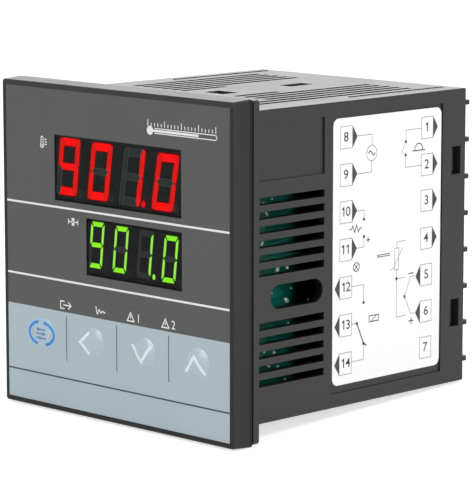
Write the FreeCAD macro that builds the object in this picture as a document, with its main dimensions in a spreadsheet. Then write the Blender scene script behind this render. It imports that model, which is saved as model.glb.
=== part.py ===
import FreeCAD, Part
import os
import Sketcher

# Panel-mounted temperature controller, 72 mm square format.
# The origin is the centre of the panel opening, in the plane of the flange's seat.
# X runs to the right, Y runs back from the panel and Z runs up, in millimetres.

doc = FreeCAD.newDocument("temperature_controller")

dimensions = {
    # front frame
    "bezel_width": 72.0,
    "bezel_draft": 0.3,
    "bezel_depth": 5.1,
    "bezel_plate": 2.0,
    "bezel_wall": 2.4,
    "bezel_corner": 0.7,
    "bezel_edge": 0.4,
    "hook_width": 6.0,
    "hook_inset": 12.0,
    "hook_thickness": 1.3,
    "hook_reach": 3.4,
    "hook_barb": 0.6,
    "hook_gap": 0.3,
    "hook_lead": 1.0,
    "hook_flat": 0.2,
    "catch_play": 0.4,
    "catch_clearance": 0.2,
    # printed film and its recess
    "film_width": 69.1,
    "film_play": 0.05,
    "film_recess": 0.35,
    "film_thickness": 0.3,
    # display windows
    "pv_centre_x": 0.85,
    "pv_centre_z": 17.7,
    "pv_width": 39.2,
    "pv_height": 14.25,
    "sv_centre_x": 5.92,
    "sv_centre_z": 1.5,
    "sv_width": 29.35,
    "sv_height": 12.35,
    "pane_play": 0.05,
    "pane_seat": 0.5,
    "module_gap": 0.1,
    "module_edge": 0.4,
    # keys and their switches
    "key_first_x": -22.65,
    "key_pitch": 16.0,
    "key_row_z": -18.95,
    "key_radius": 3.3,
    "key_play": 0.08,
    "key_travel": 0.3,
    "key_well_radius": 3.6,
    "key_well_spare": 0.2,
    "dome_radius": 3.2,
    "dome_height": 0.35,
    "plunger_radius": 1.75,
    "plunger_end": 1.6,
    "plunger_hole": 2.1,
    "switch_width": 6.0,
    "switch_depth": 3.5,
    "switch_bore": 1.85,
    "switch_floor": 0.5,
    # indicator lamps
    "lamp_first_x": -15.3,
    "lamp_pitch": 10.7,
    "lamp_row_z": -9.7,
    "lamp_radius": 1.5,
    "lamp_hole": 1.7,
    "lamp_recess": 0.2,
    "lamp_length": 4.5,
    "lamp_collar": 0.8,
    "lamp_collar_step": 0.3,
    "lamp_leg": 0.5,
    "lamp_leg_offset": 0.8,
    # housing
    "flange_width": 71.4,
    "flange_depth": 2.33,
    "flange_corner": 0.8,
    "parting_width": 0.7,
    "parting_depth": 0.6,
    "case_width": 63.1,
    "case_height": 65.8,
    "case_length": 69.43,
    "case_wall": 2.0,
    "case_edge": 0.4,
    "cut_depth": 2.5,
    "vent_width": 1.6,
    "vent_pitch": 3.0,
    "side_vent_front": 2.2,
    "side_vent_rear": 23.85,
    "side_vent_top": 14.0,
    "side_vents_above": 6,
    "side_vent_low": -12.3,
    "side_vents_below": 5,
    "window_front": 7.6,
    "window_rear": 23.4,
    "window_height": 5.15,
    "window_z": -6.55,
    "pad_depth": 0.4,
    "pad_bottom": 18.1,
    "pad_top": 30.1,
    "label_pocket_front": 26.0,
    "label_pocket_rear": 61.8,
    "label_pocket_bottom": -29.8,
    "label_front": 26.8,
    "label_length": 34.75,
    "label_bottom": -28.2,
    "label_height": 57.5,
    "label_corner": 1.6,
    "label_thickness": 0.15,
    "rear_hole_front": 64.8,
    "rear_hole_length": 3.05,
    "rear_hole_low": 14.0,
    "rear_hole_height": 6.2,
    "top_vent_right": 8.0,
    "top_vent_left": 8.4,
    "top_vent_front": 20.7,
    "top_vent_rear": 60.3,
    "top_vent_short_rear": 34.1,
    "top_vent_long_front": 4.6,
    "groove_y": 18.4,
    "groove_width": 0.5,
    "groove_depth": 0.3,
    "groove_right": 8.0,
    "top_hole_front": 22.2,
    "top_hole_width": 6.1,
    "top_hole_length": 4.6,
    "rear_top_hole_front": 44.4,
    "rear_top_hole_width": 3.6,
    "rear_top_hole_length": 7.4,
    "rail_right_x": 26.3,
    "rail_left_x": -28.0,
    "rail_width": 0.7,
    "rail_height": 0.15,
    "rail_front": 37.2,
    "rail_rear": 67.6,
    # circuit boards
    "board_thickness": 1.6,
    "front_board_y": 2.9,
    "front_board_width": 58.4,
    "front_board_height": 57.2,
    "board_hole_x": 26.5,
    "board_hole_z": 26.0,
    "board_hole_radius": 1.2,
    "side_board_x": 20.4,
    "side_board_height": 58.6,
    "side_board_rear": 63.4,
    # parts on the boards
    "core_depth": 14.0,
    "core_front": 24.0,
    "core_rear": 41.0,
    "core_bottom": -9.0,
    "core_top": 6.0,
    "core_yoke": 3.0,
    "core_leg": 2.5,
    "limb_front": 30.0,
    "limb_rear": 35.0,
    "coil_play": 0.2,
    "coil_overhang": 2.5,
    "input_can_radius": 5.0,
    "input_can_height": 16.0,
    "input_can_y": 14.0,
    "input_can_z": 18.0,
    "output_can_radius": 4.0,
    "output_can_height": 12.0,
    "output_can_y": 50.0,
    "output_can_z": 14.0,
    "can_crimp_low": 1.2,
    "can_crimp_high": 2.0,
    "can_crimp_depth": 0.5,
    "can_edge": 0.4,
    "relay_front": 34.0,
    "relay_rear": 53.0,
    "relay_height": 15.5,
    "relay_edge": 0.8,
    "output_relay_low": -22.0,
    "alarm_relay_low": -3.0,
    "chip_front": 14.0,
    "chip_low": 6.0,
    "chip_width": 10.0,
    "chip_thickness": 1.4,
    "header_depth": 2.5,
    "header_length": 30.0,
    # terminal strips and rear cover
    "strip_inner": 17.6,
    "strip_outer": 29.4,
    "strip_front": 62.5,
    "strip_base": 3.0,
    "strip_height": 61.4,
    "strip_outer_wall": 1.0,
    "strip_inner_wall": 1.2,
    "barrier_tip": 73.95,
    "barrier_thickness": 1.0,
    "barrier_corner": 1.1,
    "terminal_pitch": 8.286,
    "terminal_rise": 0.3,
    "terminals": 7,
    "screw_x": 23.6,
    "screw_bore": 1.7,
    "board_groove": 1.0,
    "wedge_inset": 0.6,
    "wedge_rise": 0.45,
    "wedge_root": 0.2,
    "wedge_start": 0.3,
    "wedge_crest": 2.2,
    "wedge_end": 2.6,
    "cover_wall": 1.8,
    "contact_thickness": 0.8,
    "contact_width": 6.4,
    "contact_inner": 19.4,
    "contact_outer": 27.8,
    "tail_thickness": 0.8,
    "tail_width": 2.0,
    "tail_length": 8.5,
    "clamp_thickness": 0.8,
    "clamp_length": 7.0,
    "screw_head_radius": 3.0,
    "screw_head_height": 2.0,
    "screw_head_edge": 0.4,
    "screw_radius": 1.5,
    "screw_length": 4.2,
    "screw_slot_width": 0.8,
    "screw_slot_depth": 1.0,
}

sheet = doc.addObject("Spreadsheet::Sheet", "dims")
for row, (alias, number) in enumerate(dimensions.items(), start=1):
    sheet.set(f"A{row}", alias)
    sheet.set(f"B{row}", str(number))
    sheet.setAlias(f"B{row}", alias)
doc.recompute()

nodes = {}
sketch_normals = {"XY_Plane": "+Z", "XZ_Plane": "-Y", "YZ_Plane": "+X"}
plane_of_sketch = {}

# planes of the front end, as distances in front of the seat
front = "(dims.flange_depth + dims.bezel_depth)"
film_floor = f"({front} - dims.film_recess)"
film_face = f"({film_floor} + dims.film_thickness)"
plate_back = f"({front} - dims.bezel_plate)"


def size(expression):
    return float(sheet.evalExpression(expression))


def bind(thing, **formulas):
    for name, formula in formulas.items():
        thing.setExpression(name, formula)


def place(thing, x="0", y="0", z="0"):
    thing.setExpression("Placement.Base.x", x)
    thing.setExpression("Placement.Base.y", y)
    thing.setExpression("Placement.Base.z", z)


def keep(thing, label):
    thing.Label = label
    nodes[label] = thing
    return thing


# ---- sketches and features of a body ----

def new_body(label):
    body = doc.addObject("PartDesign::Body", label)
    return keep(body, label)


def new_sketch(body, plane, offset="0"):
    # the offset runs along the plane's normal, which is -Y for the XZ plane
    sketch = body.newObject("Sketcher::SketchObject", f"{body.Name}_sketch")
    origin_plane = next(f for f in body.Origin.OriginFeatures if f.Role == plane)
    sketch.AttachmentSupport = [(origin_plane, "")]
    sketch.MapMode = "FlatFace"
    sketch.setExpression("AttachmentOffset.Base.z", offset)
    plane_of_sketch[sketch.Name] = plane
    return sketch


def hold(sketch, kind, references, formula):
    index = sketch.addConstraint(Sketcher.Constraint(kind, *references, size(formula)))
    sketch.setExpression(f"Constraints[{index}]", formula)


def pin(sketch, geometry, vertex, across, up):
    hold(sketch, "DistanceX", (-1, 1, geometry, vertex), across)
    hold(sketch, "DistanceY", (-1, 1, geometry, vertex), up)


def polygon(sketch, points):
    # points are pairs of formulas, in order round the outline
    first = sketch.GeometryCount
    places = [FreeCAD.Vector(size(across), size(up), 0) for across, up in points]
    for start, end in zip(places, places[1:] + places[:1]):
        sketch.addGeometry(Part.LineSegment(start, end), False)
    count = len(points)
    for index in range(count):
        following = first + (index + 1) % count
        sketch.addConstraint(Sketcher.Constraint("Coincident", first + index, 2, following, 1))
    for index, (across, up) in enumerate(points):
        pin(sketch, first + index, 1, across, up)


def rectangle(sketch, left, right, bottom, top):
    polygon(sketch, [(left, bottom), (right, bottom), (right, top), (left, top)])


def centred_rectangle(sketch, centre_x, centre_z, width, height):
    left = f"{centre_x} - ({width}) / 2"
    right = f"{centre_x} + ({width}) / 2"
    rectangle(sketch, left, right, f"{centre_z} - ({height}) / 2", f"{centre_z} + ({height}) / 2")


def circle(sketch, across, up, radius):
    centre = FreeCAD.Vector(size(across), size(up), 0)
    outline = Part.Circle(centre, FreeCAD.Vector(0, 0, 1), size(radius))
    index = sketch.addGeometry(outline, False)
    hold(sketch, "Radius", (index,), radius)
    pin(sketch, index, 3, across, up)


def obround(sketch, left, right, middle, height):
    # a slot with round ends, lying along the sketch's first axis
    radius = f"({height}) / 2"
    reach = size(radius)
    level = size(middle)
    ends = [size(left) + reach, size(right) - reach]
    first = sketch.GeometryCount
    for centre_x, side in zip(ends, (-1, 1)):
        high = FreeCAD.Vector(centre_x, level + reach, 0)
        bulge = FreeCAD.Vector(centre_x + side * reach, level, 0)
        low = FreeCAD.Vector(centre_x, level - reach, 0)
        sketch.addGeometry(Part.Arc(high, bulge, low), False)
    for up in (level + reach, level - reach):
        start = FreeCAD.Vector(ends[0], up, 0)
        sketch.addGeometry(Part.LineSegment(start, FreeCAD.Vector(ends[1], up, 0)), False)
    # an arc keeps its ends anticlockwise, so each end is joined to the nearer line
    for arc in (first, first + 1):
        for vertex in (1, 2):
            point = sketch.getPoint(arc, vertex)
            line = first + 2 if point.y > level else first + 3
            end = 1 if arc == first else 2
            sketch.addConstraint(Sketcher.Constraint("Tangent", arc, vertex, line, end))
    hold(sketch, "Radius", (first,), radius)
    pin(sketch, first, 3, f"{left} + {radius}", middle)
    hold(sketch, "DistanceX", (-1, 1, first + 1, 3), f"{right} - {radius}")
    sketch.addConstraint(Sketcher.Constraint("Horizontal", first + 2))


def extrude(body, kind, sketch, length, along):
    before = body.Shape.Volume if body.Tip else 0.0
    feature = body.newObject(f"PartDesign::{kind}", f"{body.Name}_{kind.lower()}")
    feature.Profile = sketch
    feature.setExpression("Length", length)
    matches = along == sketch_normals[plane_of_sketch[sketch.Name]]
    feature.Reversed = matches if kind == "Pocket" else not matches
    doc.recompute()
    after = body.Shape.Volume
    if kind == "Pocket" and after > before - 1e-6:
        raise RuntimeError(f"{feature.Name} cuts nothing")
    if kind == "Pad" and after < before + 1e-6:
        raise RuntimeError(f"{feature.Name} adds nothing")
    return feature


def pad(body, sketch, length, along):
    return extrude(body, "Pad", sketch, length, along)


def pocket(body, sketch, length, along):
    return extrude(body, "Pocket", sketch, length, along)


def pattern(body, feature, axis, spacing, count):
    repeat = body.newObject("PartDesign::LinearPattern", f"{body.Name}_pattern")
    repeat.Originals = [feature]
    origin_axis = next(f for f in body.Origin.OriginFeatures if f.Role == axis)
    repeat.Direction = (origin_axis, [""])
    repeat.setExpression("Length", f"({spacing}) * ({count} - 1)")
    repeat.setExpression("Occurrences", count)
    body.Tip = repeat
    doc.recompute()
    return repeat


def round_edges(body, radius, wanted):
    base = body.Tip
    edges = [f"Edge{i}" for i, edge in enumerate(base.Shape.Edges, start=1) if wanted(edge)]
    if not edges:
        raise RuntimeError(f"{body.Name} has no edge to round")
    rounding = body.newObject("PartDesign::Fillet", f"{body.Name}_fillet")
    rounding.Base = (base, edges)
    rounding.setExpression("Radius", radius)
    doc.recompute()
    return rounding


def runs_along(edge, axis):
    box = edge.BoundBox
    spans = {"X": box.XLength, "Y": box.YLength, "Z": box.ZLength}
    length = spans.pop(axis)
    return length > 0.5 and max(spans.values()) < 0.1 * length


# ---- primitives and booleans ----

def box(label, left, right, near, far, bottom, top):
    block = doc.addObject("Part::Box", label)
    bind(block, Length=f"{right} - ({left})", Width=f"{far} - ({near})", Height=f"{top} - ({bottom})")
    place(block, left, near, bottom)
    return block


def rod_along_y(label, x, z, near, far, radius):
    rod = doc.addObject("Part::Cylinder", label)
    bind(rod, Radius=radius, Height=f"{far} - ({near})")
    rod.Placement.Rotation = FreeCAD.Rotation(FreeCAD.Vector(1, 0, 0), -90)
    place(rod, x, near, z)
    return rod


def fuse(label, pieces):
    joined = doc.addObject("Part::MultiFuse", label)
    joined.Shapes = pieces
    joined.Refine = True
    return joined


def cut(label, base, tool):
    remainder = doc.addObject("Part::Cut", label)
    remainder.Base = base
    remainder.Tool = tool
    return remainder


def group(label, pieces):
    together = doc.addObject("Part::Compound", label)
    together.Links = pieces
    return keep(together, label)


def left_hand(label, source):
    twin = doc.addObject("Part::Mirroring", label)
    twin.Source = source
    twin.Base = FreeCAD.Vector(0, 0, 0)
    twin.Normal = FreeCAD.Vector(1, 0, 0)
    return twin


# ---- front frame: hollow moulding with a stepped front and four snap hooks ----

windows = {
    "pv": ("dims.pv_centre_x", "dims.pv_centre_z", "dims.pv_width", "dims.pv_height"),
    "sv": ("dims.sv_centre_x", "dims.sv_centre_z", "dims.sv_width", "dims.sv_height"),
}
key_names = ["set", "shift", "down", "up"]
key_places = [f"(dims.key_first_x + {i} * dims.key_pitch)" for i in range(len(key_names))]
lamp_places = [f"(dims.lamp_first_x + {i} * dims.lamp_pitch)" for i in range(4)]


def build_bezel():
    body = new_body("front_bezel")
    outline = new_sketch(body, "XZ_Plane", "dims.flange_depth")
    centred_rectangle(outline, "0", "0", "dims.bezel_width", "dims.bezel_width")
    block = pad(body, outline, "dims.bezel_depth", "-Y")
    block.setExpression("TaperAngle", "-atan(dims.bezel_draft / dims.bezel_depth)")
    doc.recompute()
    round_edges(body, "dims.bezel_corner", lambda edge: runs_along(edge, "Y"))
    front_y = -size(front)
    round_edges(body, "dims.bezel_edge", lambda edge: edge.BoundBox.YMax < front_y + 0.01)

    inside = new_sketch(body, "XZ_Plane", "dims.flange_depth")
    hollow = "dims.bezel_width - 2 * dims.bezel_wall"
    centred_rectangle(inside, "0", "0", hollow, hollow)
    pocket(body, inside, "dims.bezel_depth - dims.bezel_plate", "-Y")

    recess = new_sketch(body, "XZ_Plane", front)
    film_room = "dims.film_width + 2 * dims.film_play"
    centred_rectangle(recess, "0", "0", film_room, film_room)
    pocket(body, recess, "dims.film_recess", "+Y")

    openings = new_sketch(body, "XZ_Plane", film_floor)
    for centre_x, centre_z, width, height in windows.values():
        centred_rectangle(openings, centre_x, centre_z, width, f"{height} - 2 * dims.pane_seat")
    for place_x in lamp_places:
        circle(openings, place_x, "dims.lamp_row_z", "dims.lamp_hole")
    for place_x in key_places:
        circle(openings, place_x, "dims.key_row_z", "dims.plunger_hole")
    pocket(body, openings, "dims.bezel_plate", "+Y")

    wells = new_sketch(body, "XZ_Plane", film_floor)
    for place_x in key_places:
        circle(wells, place_x, "dims.key_row_z", "dims.key_well_radius")
    pocket(body, wells, "dims.key_travel + dims.key_well_spare", "+Y")

    # each hook is a tongue from the plate with a barb that snaps into the housing
    root = f"-{plate_back}"
    outer = "(dims.case_height / 2 - dims.case_wall - dims.hook_gap)"
    inner = f"({outer} - dims.hook_thickness)"
    crest = f"({outer} + dims.hook_gap + dims.hook_barb)"
    crest_front = "dims.hook_reach - dims.hook_lead - dims.hook_flat"
    for side in ("", "-"):
        for x_start in ("dims.hook_inset", "-dims.hook_inset - dims.hook_width"):
            profile = new_sketch(body, "YZ_Plane", x_start)
            heights = [(root, inner), ("dims.hook_reach", inner), ("dims.hook_reach", outer),
                       ("dims.hook_reach - dims.hook_lead", crest), (crest_front, crest),
                       (crest_front, outer), (root, outer)]
            polygon(profile, [(along_y, side + up) for along_y, up in heights])
            pad(body, profile, "dims.hook_width", "+X")


build_bezel()


# ---- printed film, with its windows and key places left open ----

def build_film():
    body = new_body("front_overlay")
    outline = new_sketch(body, "XZ_Plane", film_floor)
    centred_rectangle(outline, "0", "0", "dims.film_width", "dims.film_width")
    for centre_x, centre_z, width, height in windows.values():
        centred_rectangle(outline, centre_x, centre_z, width, height)
    for place_x in key_places:
        circle(outline, place_x, "dims.key_row_z", "dims.key_radius + dims.key_play")
    pad(body, outline, "dims.film_thickness", "-Y")


build_film()


# ---- display panes, flush with the film, and the modules that stand behind them ----

def build_pane(name, centre_x, centre_z, width, height):
    # the pane rests on a ledge of the frame above and below its opening
    body = new_body(f"{name}_window")
    face = new_sketch(body, "XZ_Plane", film_floor)
    clear = "2 * dims.pane_play"
    centred_rectangle(face, centre_x, centre_z, f"{width} - {clear}", f"{height} - {clear}")
    pad(body, face, "dims.film_thickness", "-Y")


def build_display(name, centre_x, centre_z, width, height):
    half_width = f"({width} / 2 - dims.module_gap)"
    half_height = f"({height} / 2 - dims.pane_seat - dims.module_gap)"
    block = box(f"{name}_block", f"{centre_x} - {half_width}", f"{centre_x} + {half_width}",
                f"-{film_floor} + dims.module_gap", "dims.front_board_y",
                f"{centre_z} - {half_height}", f"{centre_z} + {half_height}")
    doc.recompute()
    module = doc.addObject("Part::Chamfer", f"{name}_module")
    module.Base = block
    edge_size = size("dims.module_edge")
    uprights = [i for i, edge in enumerate(block.Shape.Edges, start=1) if runs_along(edge, "Y")]
    module.Edges = [(index, edge_size, edge_size) for index in uprights]
    keep(module, f"{name}_display")


for name, window in windows.items():
    build_pane(name, *window)
    build_display(name, *window)


# ---- keys: a domed cap, a plunger that rides with it and the switch below ----

def build_key(name, place_x):
    cap = new_body(f"{name}_key")
    profile = new_sketch(cap, "XY_Plane")
    below = f"-{film_floor}"
    level = f"-{film_face}"
    rim = FreeCAD.Vector(size("dims.dome_radius"), size(level), 0)
    apex = FreeCAD.Vector(0, size(f"{level} - dims.dome_height"), 0)
    sphere = (rim.x ** 2 + (rim.y - apex.y) ** 2) / (2 * (rim.y - apex.y))
    half = rim.x / 2
    middle = FreeCAD.Vector(half, apex.y + sphere - (sphere ** 2 - half ** 2) ** 0.5, 0)
    corners = [apex, FreeCAD.Vector(0, size(below), 0),
               FreeCAD.Vector(size("dims.key_radius"), size(below), 0),
               FreeCAD.Vector(size("dims.key_radius"), size(level), 0), rim]
    for start, end in zip(corners, corners[1:]):
        profile.addGeometry(Part.LineSegment(start, end), False)
    for line in range(3):
        profile.addConstraint(Sketcher.Constraint("Coincident", line, 2, line + 1, 1))
    arc = profile.addGeometry(Part.Arc(rim, middle, apex), False)
    for vertex in (1, 2):
        at_rim = profile.getPoint(arc, vertex).x > half
        partner = (3, 2) if at_rim else (0, 1)
        profile.addConstraint(Sketcher.Constraint("Coincident", arc, vertex, *partner))
    profile.addConstraint(Sketcher.Constraint("PointOnObject", arc, 3, -2))
    profile.addConstraint(Sketcher.Constraint("Vertical", 0))
    profile.addConstraint(Sketcher.Constraint("PointOnObject", 0, 1, -2))
    hold(profile, "DistanceY", (-1, 1, 0, 1), f"{level} - dims.dome_height")
    hold(profile, "DistanceY", (-1, 1, 0, 2), below)
    pin(profile, 2, 1, "dims.key_radius", below)
    pin(profile, 2, 2, "dims.key_radius", level)
    pin(profile, 3, 2, "dims.dome_radius", level)
    turned = cap.newObject("PartDesign::Revolution", f"{cap.Name}_turned")
    turned.Profile = profile
    turned.ReferenceAxis = (profile, ["V_Axis"])
    turned.Angle = 360
    place(cap, place_x, "0", "dims.key_row_z")

    plunger = rod_along_y(f"{name}_rod", place_x, "dims.key_row_z", f"-{film_floor}",
                          "dims.plunger_end", "dims.plunger_radius")
    keep(plunger, f"{name}_plunger")

    half_width = "dims.switch_width / 2"
    block = box(f"{name}_switch_block", f"{place_x} - {half_width}", f"{place_x} + {half_width}",
                "dims.front_board_y - dims.switch_depth", "dims.front_board_y",
                f"dims.key_row_z - {half_width}", f"dims.key_row_z + {half_width}")
    bore = rod_along_y(f"{name}_switch_bore", place_x, "dims.key_row_z",
                       "dims.front_board_y - dims.switch_depth - 1",
                       "dims.front_board_y - dims.switch_floor",
                       "dims.switch_bore")
    keep(cut(f"{name}_switch_cut", block, bore), f"{name}_switch")


for name, place_x in zip(key_names, key_places):
    build_key(name, place_x)


# ---- indicator lamps: flat-topped heads with a collar and two legs each ----

def build_lamps():
    lamps = []
    for index, place_x in enumerate(lamp_places):
        tip = f"(-{film_floor} + dims.lamp_recess)"
        base = f"({tip} + dims.lamp_length)"
        head = rod_along_y(f"lamp_{index}_head", place_x, "dims.lamp_row_z", tip, base, "dims.lamp_radius")
        collar = rod_along_y(f"lamp_{index}_collar", place_x, "dims.lamp_row_z",
                             f"{base} - dims.lamp_collar", base, "dims.lamp_radius + dims.lamp_collar_step")
        pieces = [head, collar]
        for side in ("+", "-"):
            centre = f"({place_x} {side} dims.lamp_leg_offset)"
            pieces.append(box(f"lamp_{index}_leg", f"{centre} - dims.lamp_leg / 2",
                              f"{centre} + dims.lamp_leg / 2", f"{base} - 0.1", "dims.front_board_y",
                              "dims.lamp_row_z - dims.lamp_leg / 2", "dims.lamp_row_z + dims.lamp_leg / 2"))
        lamps.append(fuse(f"lamp_{index}", pieces))
    group("indicator_leds", lamps)


build_lamps()


# ---- housing: a tube with a flange, vented on all four sides ----

def build_case():
    body = new_body("case")
    outline = new_sketch(body, "XZ_Plane")
    centred_rectangle(outline, "0", "0", "dims.case_width", "dims.case_height")
    pad(body, outline, "dims.case_length", "+Y")
    round_edges(body, "dims.case_edge", lambda edge: runs_along(edge, "Y"))

    flange = new_sketch(body, "XZ_Plane")
    centred_rectangle(flange, "0", "0", "dims.flange_width", "dims.flange_width")
    pad(body, flange, "dims.flange_depth - dims.parting_width", "-Y")
    corner_x = size("dims.flange_width / 2") - 0.01
    round_edges(body, "dims.flange_corner",
                lambda edge: runs_along(edge, "Y") and abs(edge.CenterOfMass.x) > corner_x)

    # a narrower step leaves the parting groove behind the front frame
    step = new_sketch(body, "XZ_Plane", "dims.flange_depth - dims.parting_width")
    stepped = "dims.flange_width - 2 * dims.parting_depth"
    centred_rectangle(step, "0", "0", stepped, stepped)
    pad(body, step, "dims.parting_width", "-Y")

    inside = new_sketch(body, "XZ_Plane", "dims.flange_depth")
    centred_rectangle(inside, "0", "0", "dims.case_width - 2 * dims.case_wall",
                      "dims.case_height - 2 * dims.case_wall")
    pocket(body, inside, "dims.case_length + dims.flange_depth", "+Y")
    build_side_openings(body)
    build_top_openings(body)
    build_catches(body)


def build_side_openings(body):
    side = "dims.case_width / 2"
    columns = [("dims.side_vent_top", "dims.side_vents_above"),
               ("dims.side_vent_low", "dims.side_vents_below")]
    for wall, along in ((side, "-X"), (f"-{side}", "+X")):
        for highest, count in columns:
            lowest = f"({highest} - ({count} - 1) * dims.vent_pitch)"
            slot = new_sketch(body, "YZ_Plane", wall)
            rectangle(slot, "dims.side_vent_front", "dims.side_vent_rear",
                      f"{lowest} - dims.vent_width / 2", f"{lowest} + dims.vent_width / 2")
            first = pocket(body, slot, "dims.cut_depth", along)
            pattern(body, first, "Z_Axis", "dims.vent_pitch", count)
        openings = new_sketch(body, "YZ_Plane", wall)
        obround(openings, "dims.window_front", "dims.window_rear", "dims.window_z", "dims.window_height")
        for low in ("dims.rear_hole_low", "-dims.rear_hole_low - dims.rear_hole_height"):
            rectangle(openings, "dims.rear_hole_front", "dims.rear_hole_front + dims.rear_hole_length",
                      low, f"{low} + dims.rear_hole_height")
        pocket(body, openings, "dims.cut_depth", along)

    # shallow recesses of the right side: a plain one, and the label's
    recesses = new_sketch(body, "YZ_Plane", side)
    rectangle(recesses, "dims.side_vent_front", "dims.side_vent_rear", "dims.pad_bottom", "dims.pad_top")
    rectangle(recesses, "dims.label_pocket_front", "dims.label_pocket_rear",
              "dims.label_pocket_bottom", "dims.pad_top")
    pocket(body, recesses, "dims.pad_depth", "-X")


def build_top_openings(body):
    top = "dims.case_height / 2"
    half = "dims.vent_width / 2"
    for wall, along in ((top, "-Z"), (f"-{top}", "+Z")):
        vents = new_sketch(body, "XY_Plane", wall)
        for side, first in ((1, "dims.top_vent_right"), (-1, "dims.top_vent_left")):
            for index in range(6):
                centre = f"({side} * ({first} + {index} * dims.vent_pitch))"
                start = "dims.top_vent_front"
                if side > 0 and index > 3:
                    start = "dims.top_vent_long_front"
                end = "dims.top_vent_short_rear" if index == 0 else "dims.top_vent_rear"
                rectangle(vents, f"{centre} - {half}", f"{centre} + {half}", start, end)
        pocket(body, vents, "dims.cut_depth", along)

    holes = new_sketch(body, "XY_Plane", top)
    rectangle(holes, "-dims.top_hole_width / 2", "dims.top_hole_width / 2",
              "dims.top_hole_front", "dims.top_hole_front + dims.top_hole_length")
    rectangle(holes, "-dims.rear_top_hole_width / 2", "dims.rear_top_hole_width / 2",
              "dims.rear_top_hole_front", "dims.rear_top_hole_front + dims.rear_top_hole_length")
    pocket(body, holes, "dims.cut_depth", "-Z")

    groove = new_sketch(body, "XY_Plane", top)
    rectangle(groove, "-dims.case_width / 2 - 1", "dims.groove_right",
              "dims.groove_y", "dims.groove_y + dims.groove_width")
    pocket(body, groove, "dims.groove_depth", "-Z")

    for wall, along in ((top, "+Z"), (f"-{top}", "-Z")):
        rails = new_sketch(body, "XY_Plane", wall)
        for centre in ("dims.rail_right_x", "dims.rail_left_x"):
            rectangle(rails, f"{centre} - dims.rail_width / 2", f"{centre} + dims.rail_width / 2",
                      "dims.rail_front", "dims.rail_rear")
        pad(body, rails, "dims.rail_height", along)


def build_catches(body):
    # notches inside the top and bottom walls, where the front frame's hooks snap in
    inner = "(dims.case_height / 2 - dims.case_wall)"
    for wall, along in ((inner, "+Z"), (f"-{inner}", "-Z")):
        notches = new_sketch(body, "XY_Plane", wall)
        for start in ("dims.hook_inset", "-dims.hook_inset - dims.hook_width"):
            rectangle(notches, f"{start} - dims.catch_play", f"{start} + dims.hook_width + dims.catch_play",
                      "dims.hook_reach - dims.hook_lead - dims.catch_play",
                      "dims.hook_reach + dims.catch_play")
        pocket(body, notches, "dims.hook_barb + dims.catch_clearance", along)


build_case()


# ---- side label, in its recess ----

def build_label():
    body = new_body("side_label")
    outline = new_sketch(body, "YZ_Plane", "dims.case_width / 2 - dims.pad_depth")
    rectangle(outline, "dims.label_front", "dims.label_front + dims.label_length",
              "dims.label_bottom", "dims.label_bottom + dims.label_height")
    pad(body, outline, "dims.label_thickness", "+X")
    round_edges(body, "dims.label_corner", lambda edge: abs(edge.BoundBox.XLength - edge.Length) < 1e-6)


build_label()


# ---- circuit boards ----

board_back = "(dims.front_board_y + dims.board_thickness)"
inner_face = "dims.side_board_x"
outer_face = "(dims.side_board_x + dims.board_thickness)"


def build_boards():
    front_board = new_body("display_board")
    outline = new_sketch(front_board, "XZ_Plane", "-dims.front_board_y")
    centred_rectangle(outline, "0", "0", "dims.front_board_width", "dims.front_board_height")
    for across in ("-dims.board_hole_x", "dims.board_hole_x"):
        for up in ("-dims.board_hole_z", "dims.board_hole_z"):
            circle(outline, across, up, "dims.board_hole_radius")
    pad(front_board, outline, "dims.board_thickness", "+Y")

    half = "dims.side_board_height / 2"
    for name, face, along in (("power_board", inner_face, "+X"), ("io_board", f"-{inner_face}", "-X")):
        board = new_body(name)
        outline = new_sketch(board, "YZ_Plane", face)
        rectangle(outline, board_back, "dims.side_board_rear", f"-{half}", half)
        pad(board, outline, "dims.board_thickness", along)


def build_transformer():
    # the core has two windows round its middle limb, and the coil fills both
    core = box("core_block", f"{inner_face} - dims.core_depth", inner_face,
               "dims.core_front", "dims.core_rear", "dims.core_bottom", "dims.core_top")
    reach = "dims.core_depth - dims.core_yoke"
    room = (("dims.core_front + dims.core_leg", "dims.limb_front"),
            ("dims.limb_rear", "dims.core_rear - dims.core_leg"))
    spaces = [box("core_window", f"{inner_face} - ({reach})", f"{inner_face} - dims.core_yoke", near, far,
                  "dims.core_bottom - 1", "dims.core_top + 1") for near, far in room]
    keep(cut("core_cut", core, fuse("core_windows", spaces)), "transformer_core")

    coil = box("coil_block", f"{inner_face} - ({reach} - dims.coil_play)",
               f"{inner_face} - (dims.core_yoke + dims.coil_play)",
               "dims.core_front + dims.core_leg + dims.coil_play",
               "dims.core_rear - dims.core_leg - dims.coil_play",
               "dims.core_bottom - dims.coil_overhang", "dims.core_top + dims.coil_overhang")
    limb = box("coil_limb", f"{inner_face} - dims.core_depth", inner_face,
               "dims.limb_front", "dims.limb_rear", "dims.core_bottom", "dims.core_top")
    keep(cut("coil_cut", coil, limb), "transformer_winding")


def build_can(name, prefix):
    can = new_body(name)
    radius = f"dims.{prefix}_radius"
    height = f"dims.{prefix}_height"
    crimp_middle = "(dims.can_crimp_low + dims.can_crimp_high) / 2"
    profile = new_sketch(can, "XY_Plane")
    polygon(profile, [("0", "0"), (radius, "0"), (radius, "dims.can_crimp_low"),
                      (f"{radius} - dims.can_crimp_depth", crimp_middle),
                      (radius, "dims.can_crimp_high"), (radius, f"{height} - dims.can_edge"),
                      (f"{radius} - dims.can_edge", height), ("0", height)])
    turned = can.newObject("PartDesign::Revolution", f"{name}_turned")
    turned.Profile = profile
    turned.ReferenceAxis = (profile, ["V_Axis"])
    turned.Angle = 360
    can.Placement.Rotation = FreeCAD.Rotation(FreeCAD.Vector(0, 0, 1), 90)
    place(can, inner_face, f"dims.{prefix}_y", f"dims.{prefix}_z")


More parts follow.
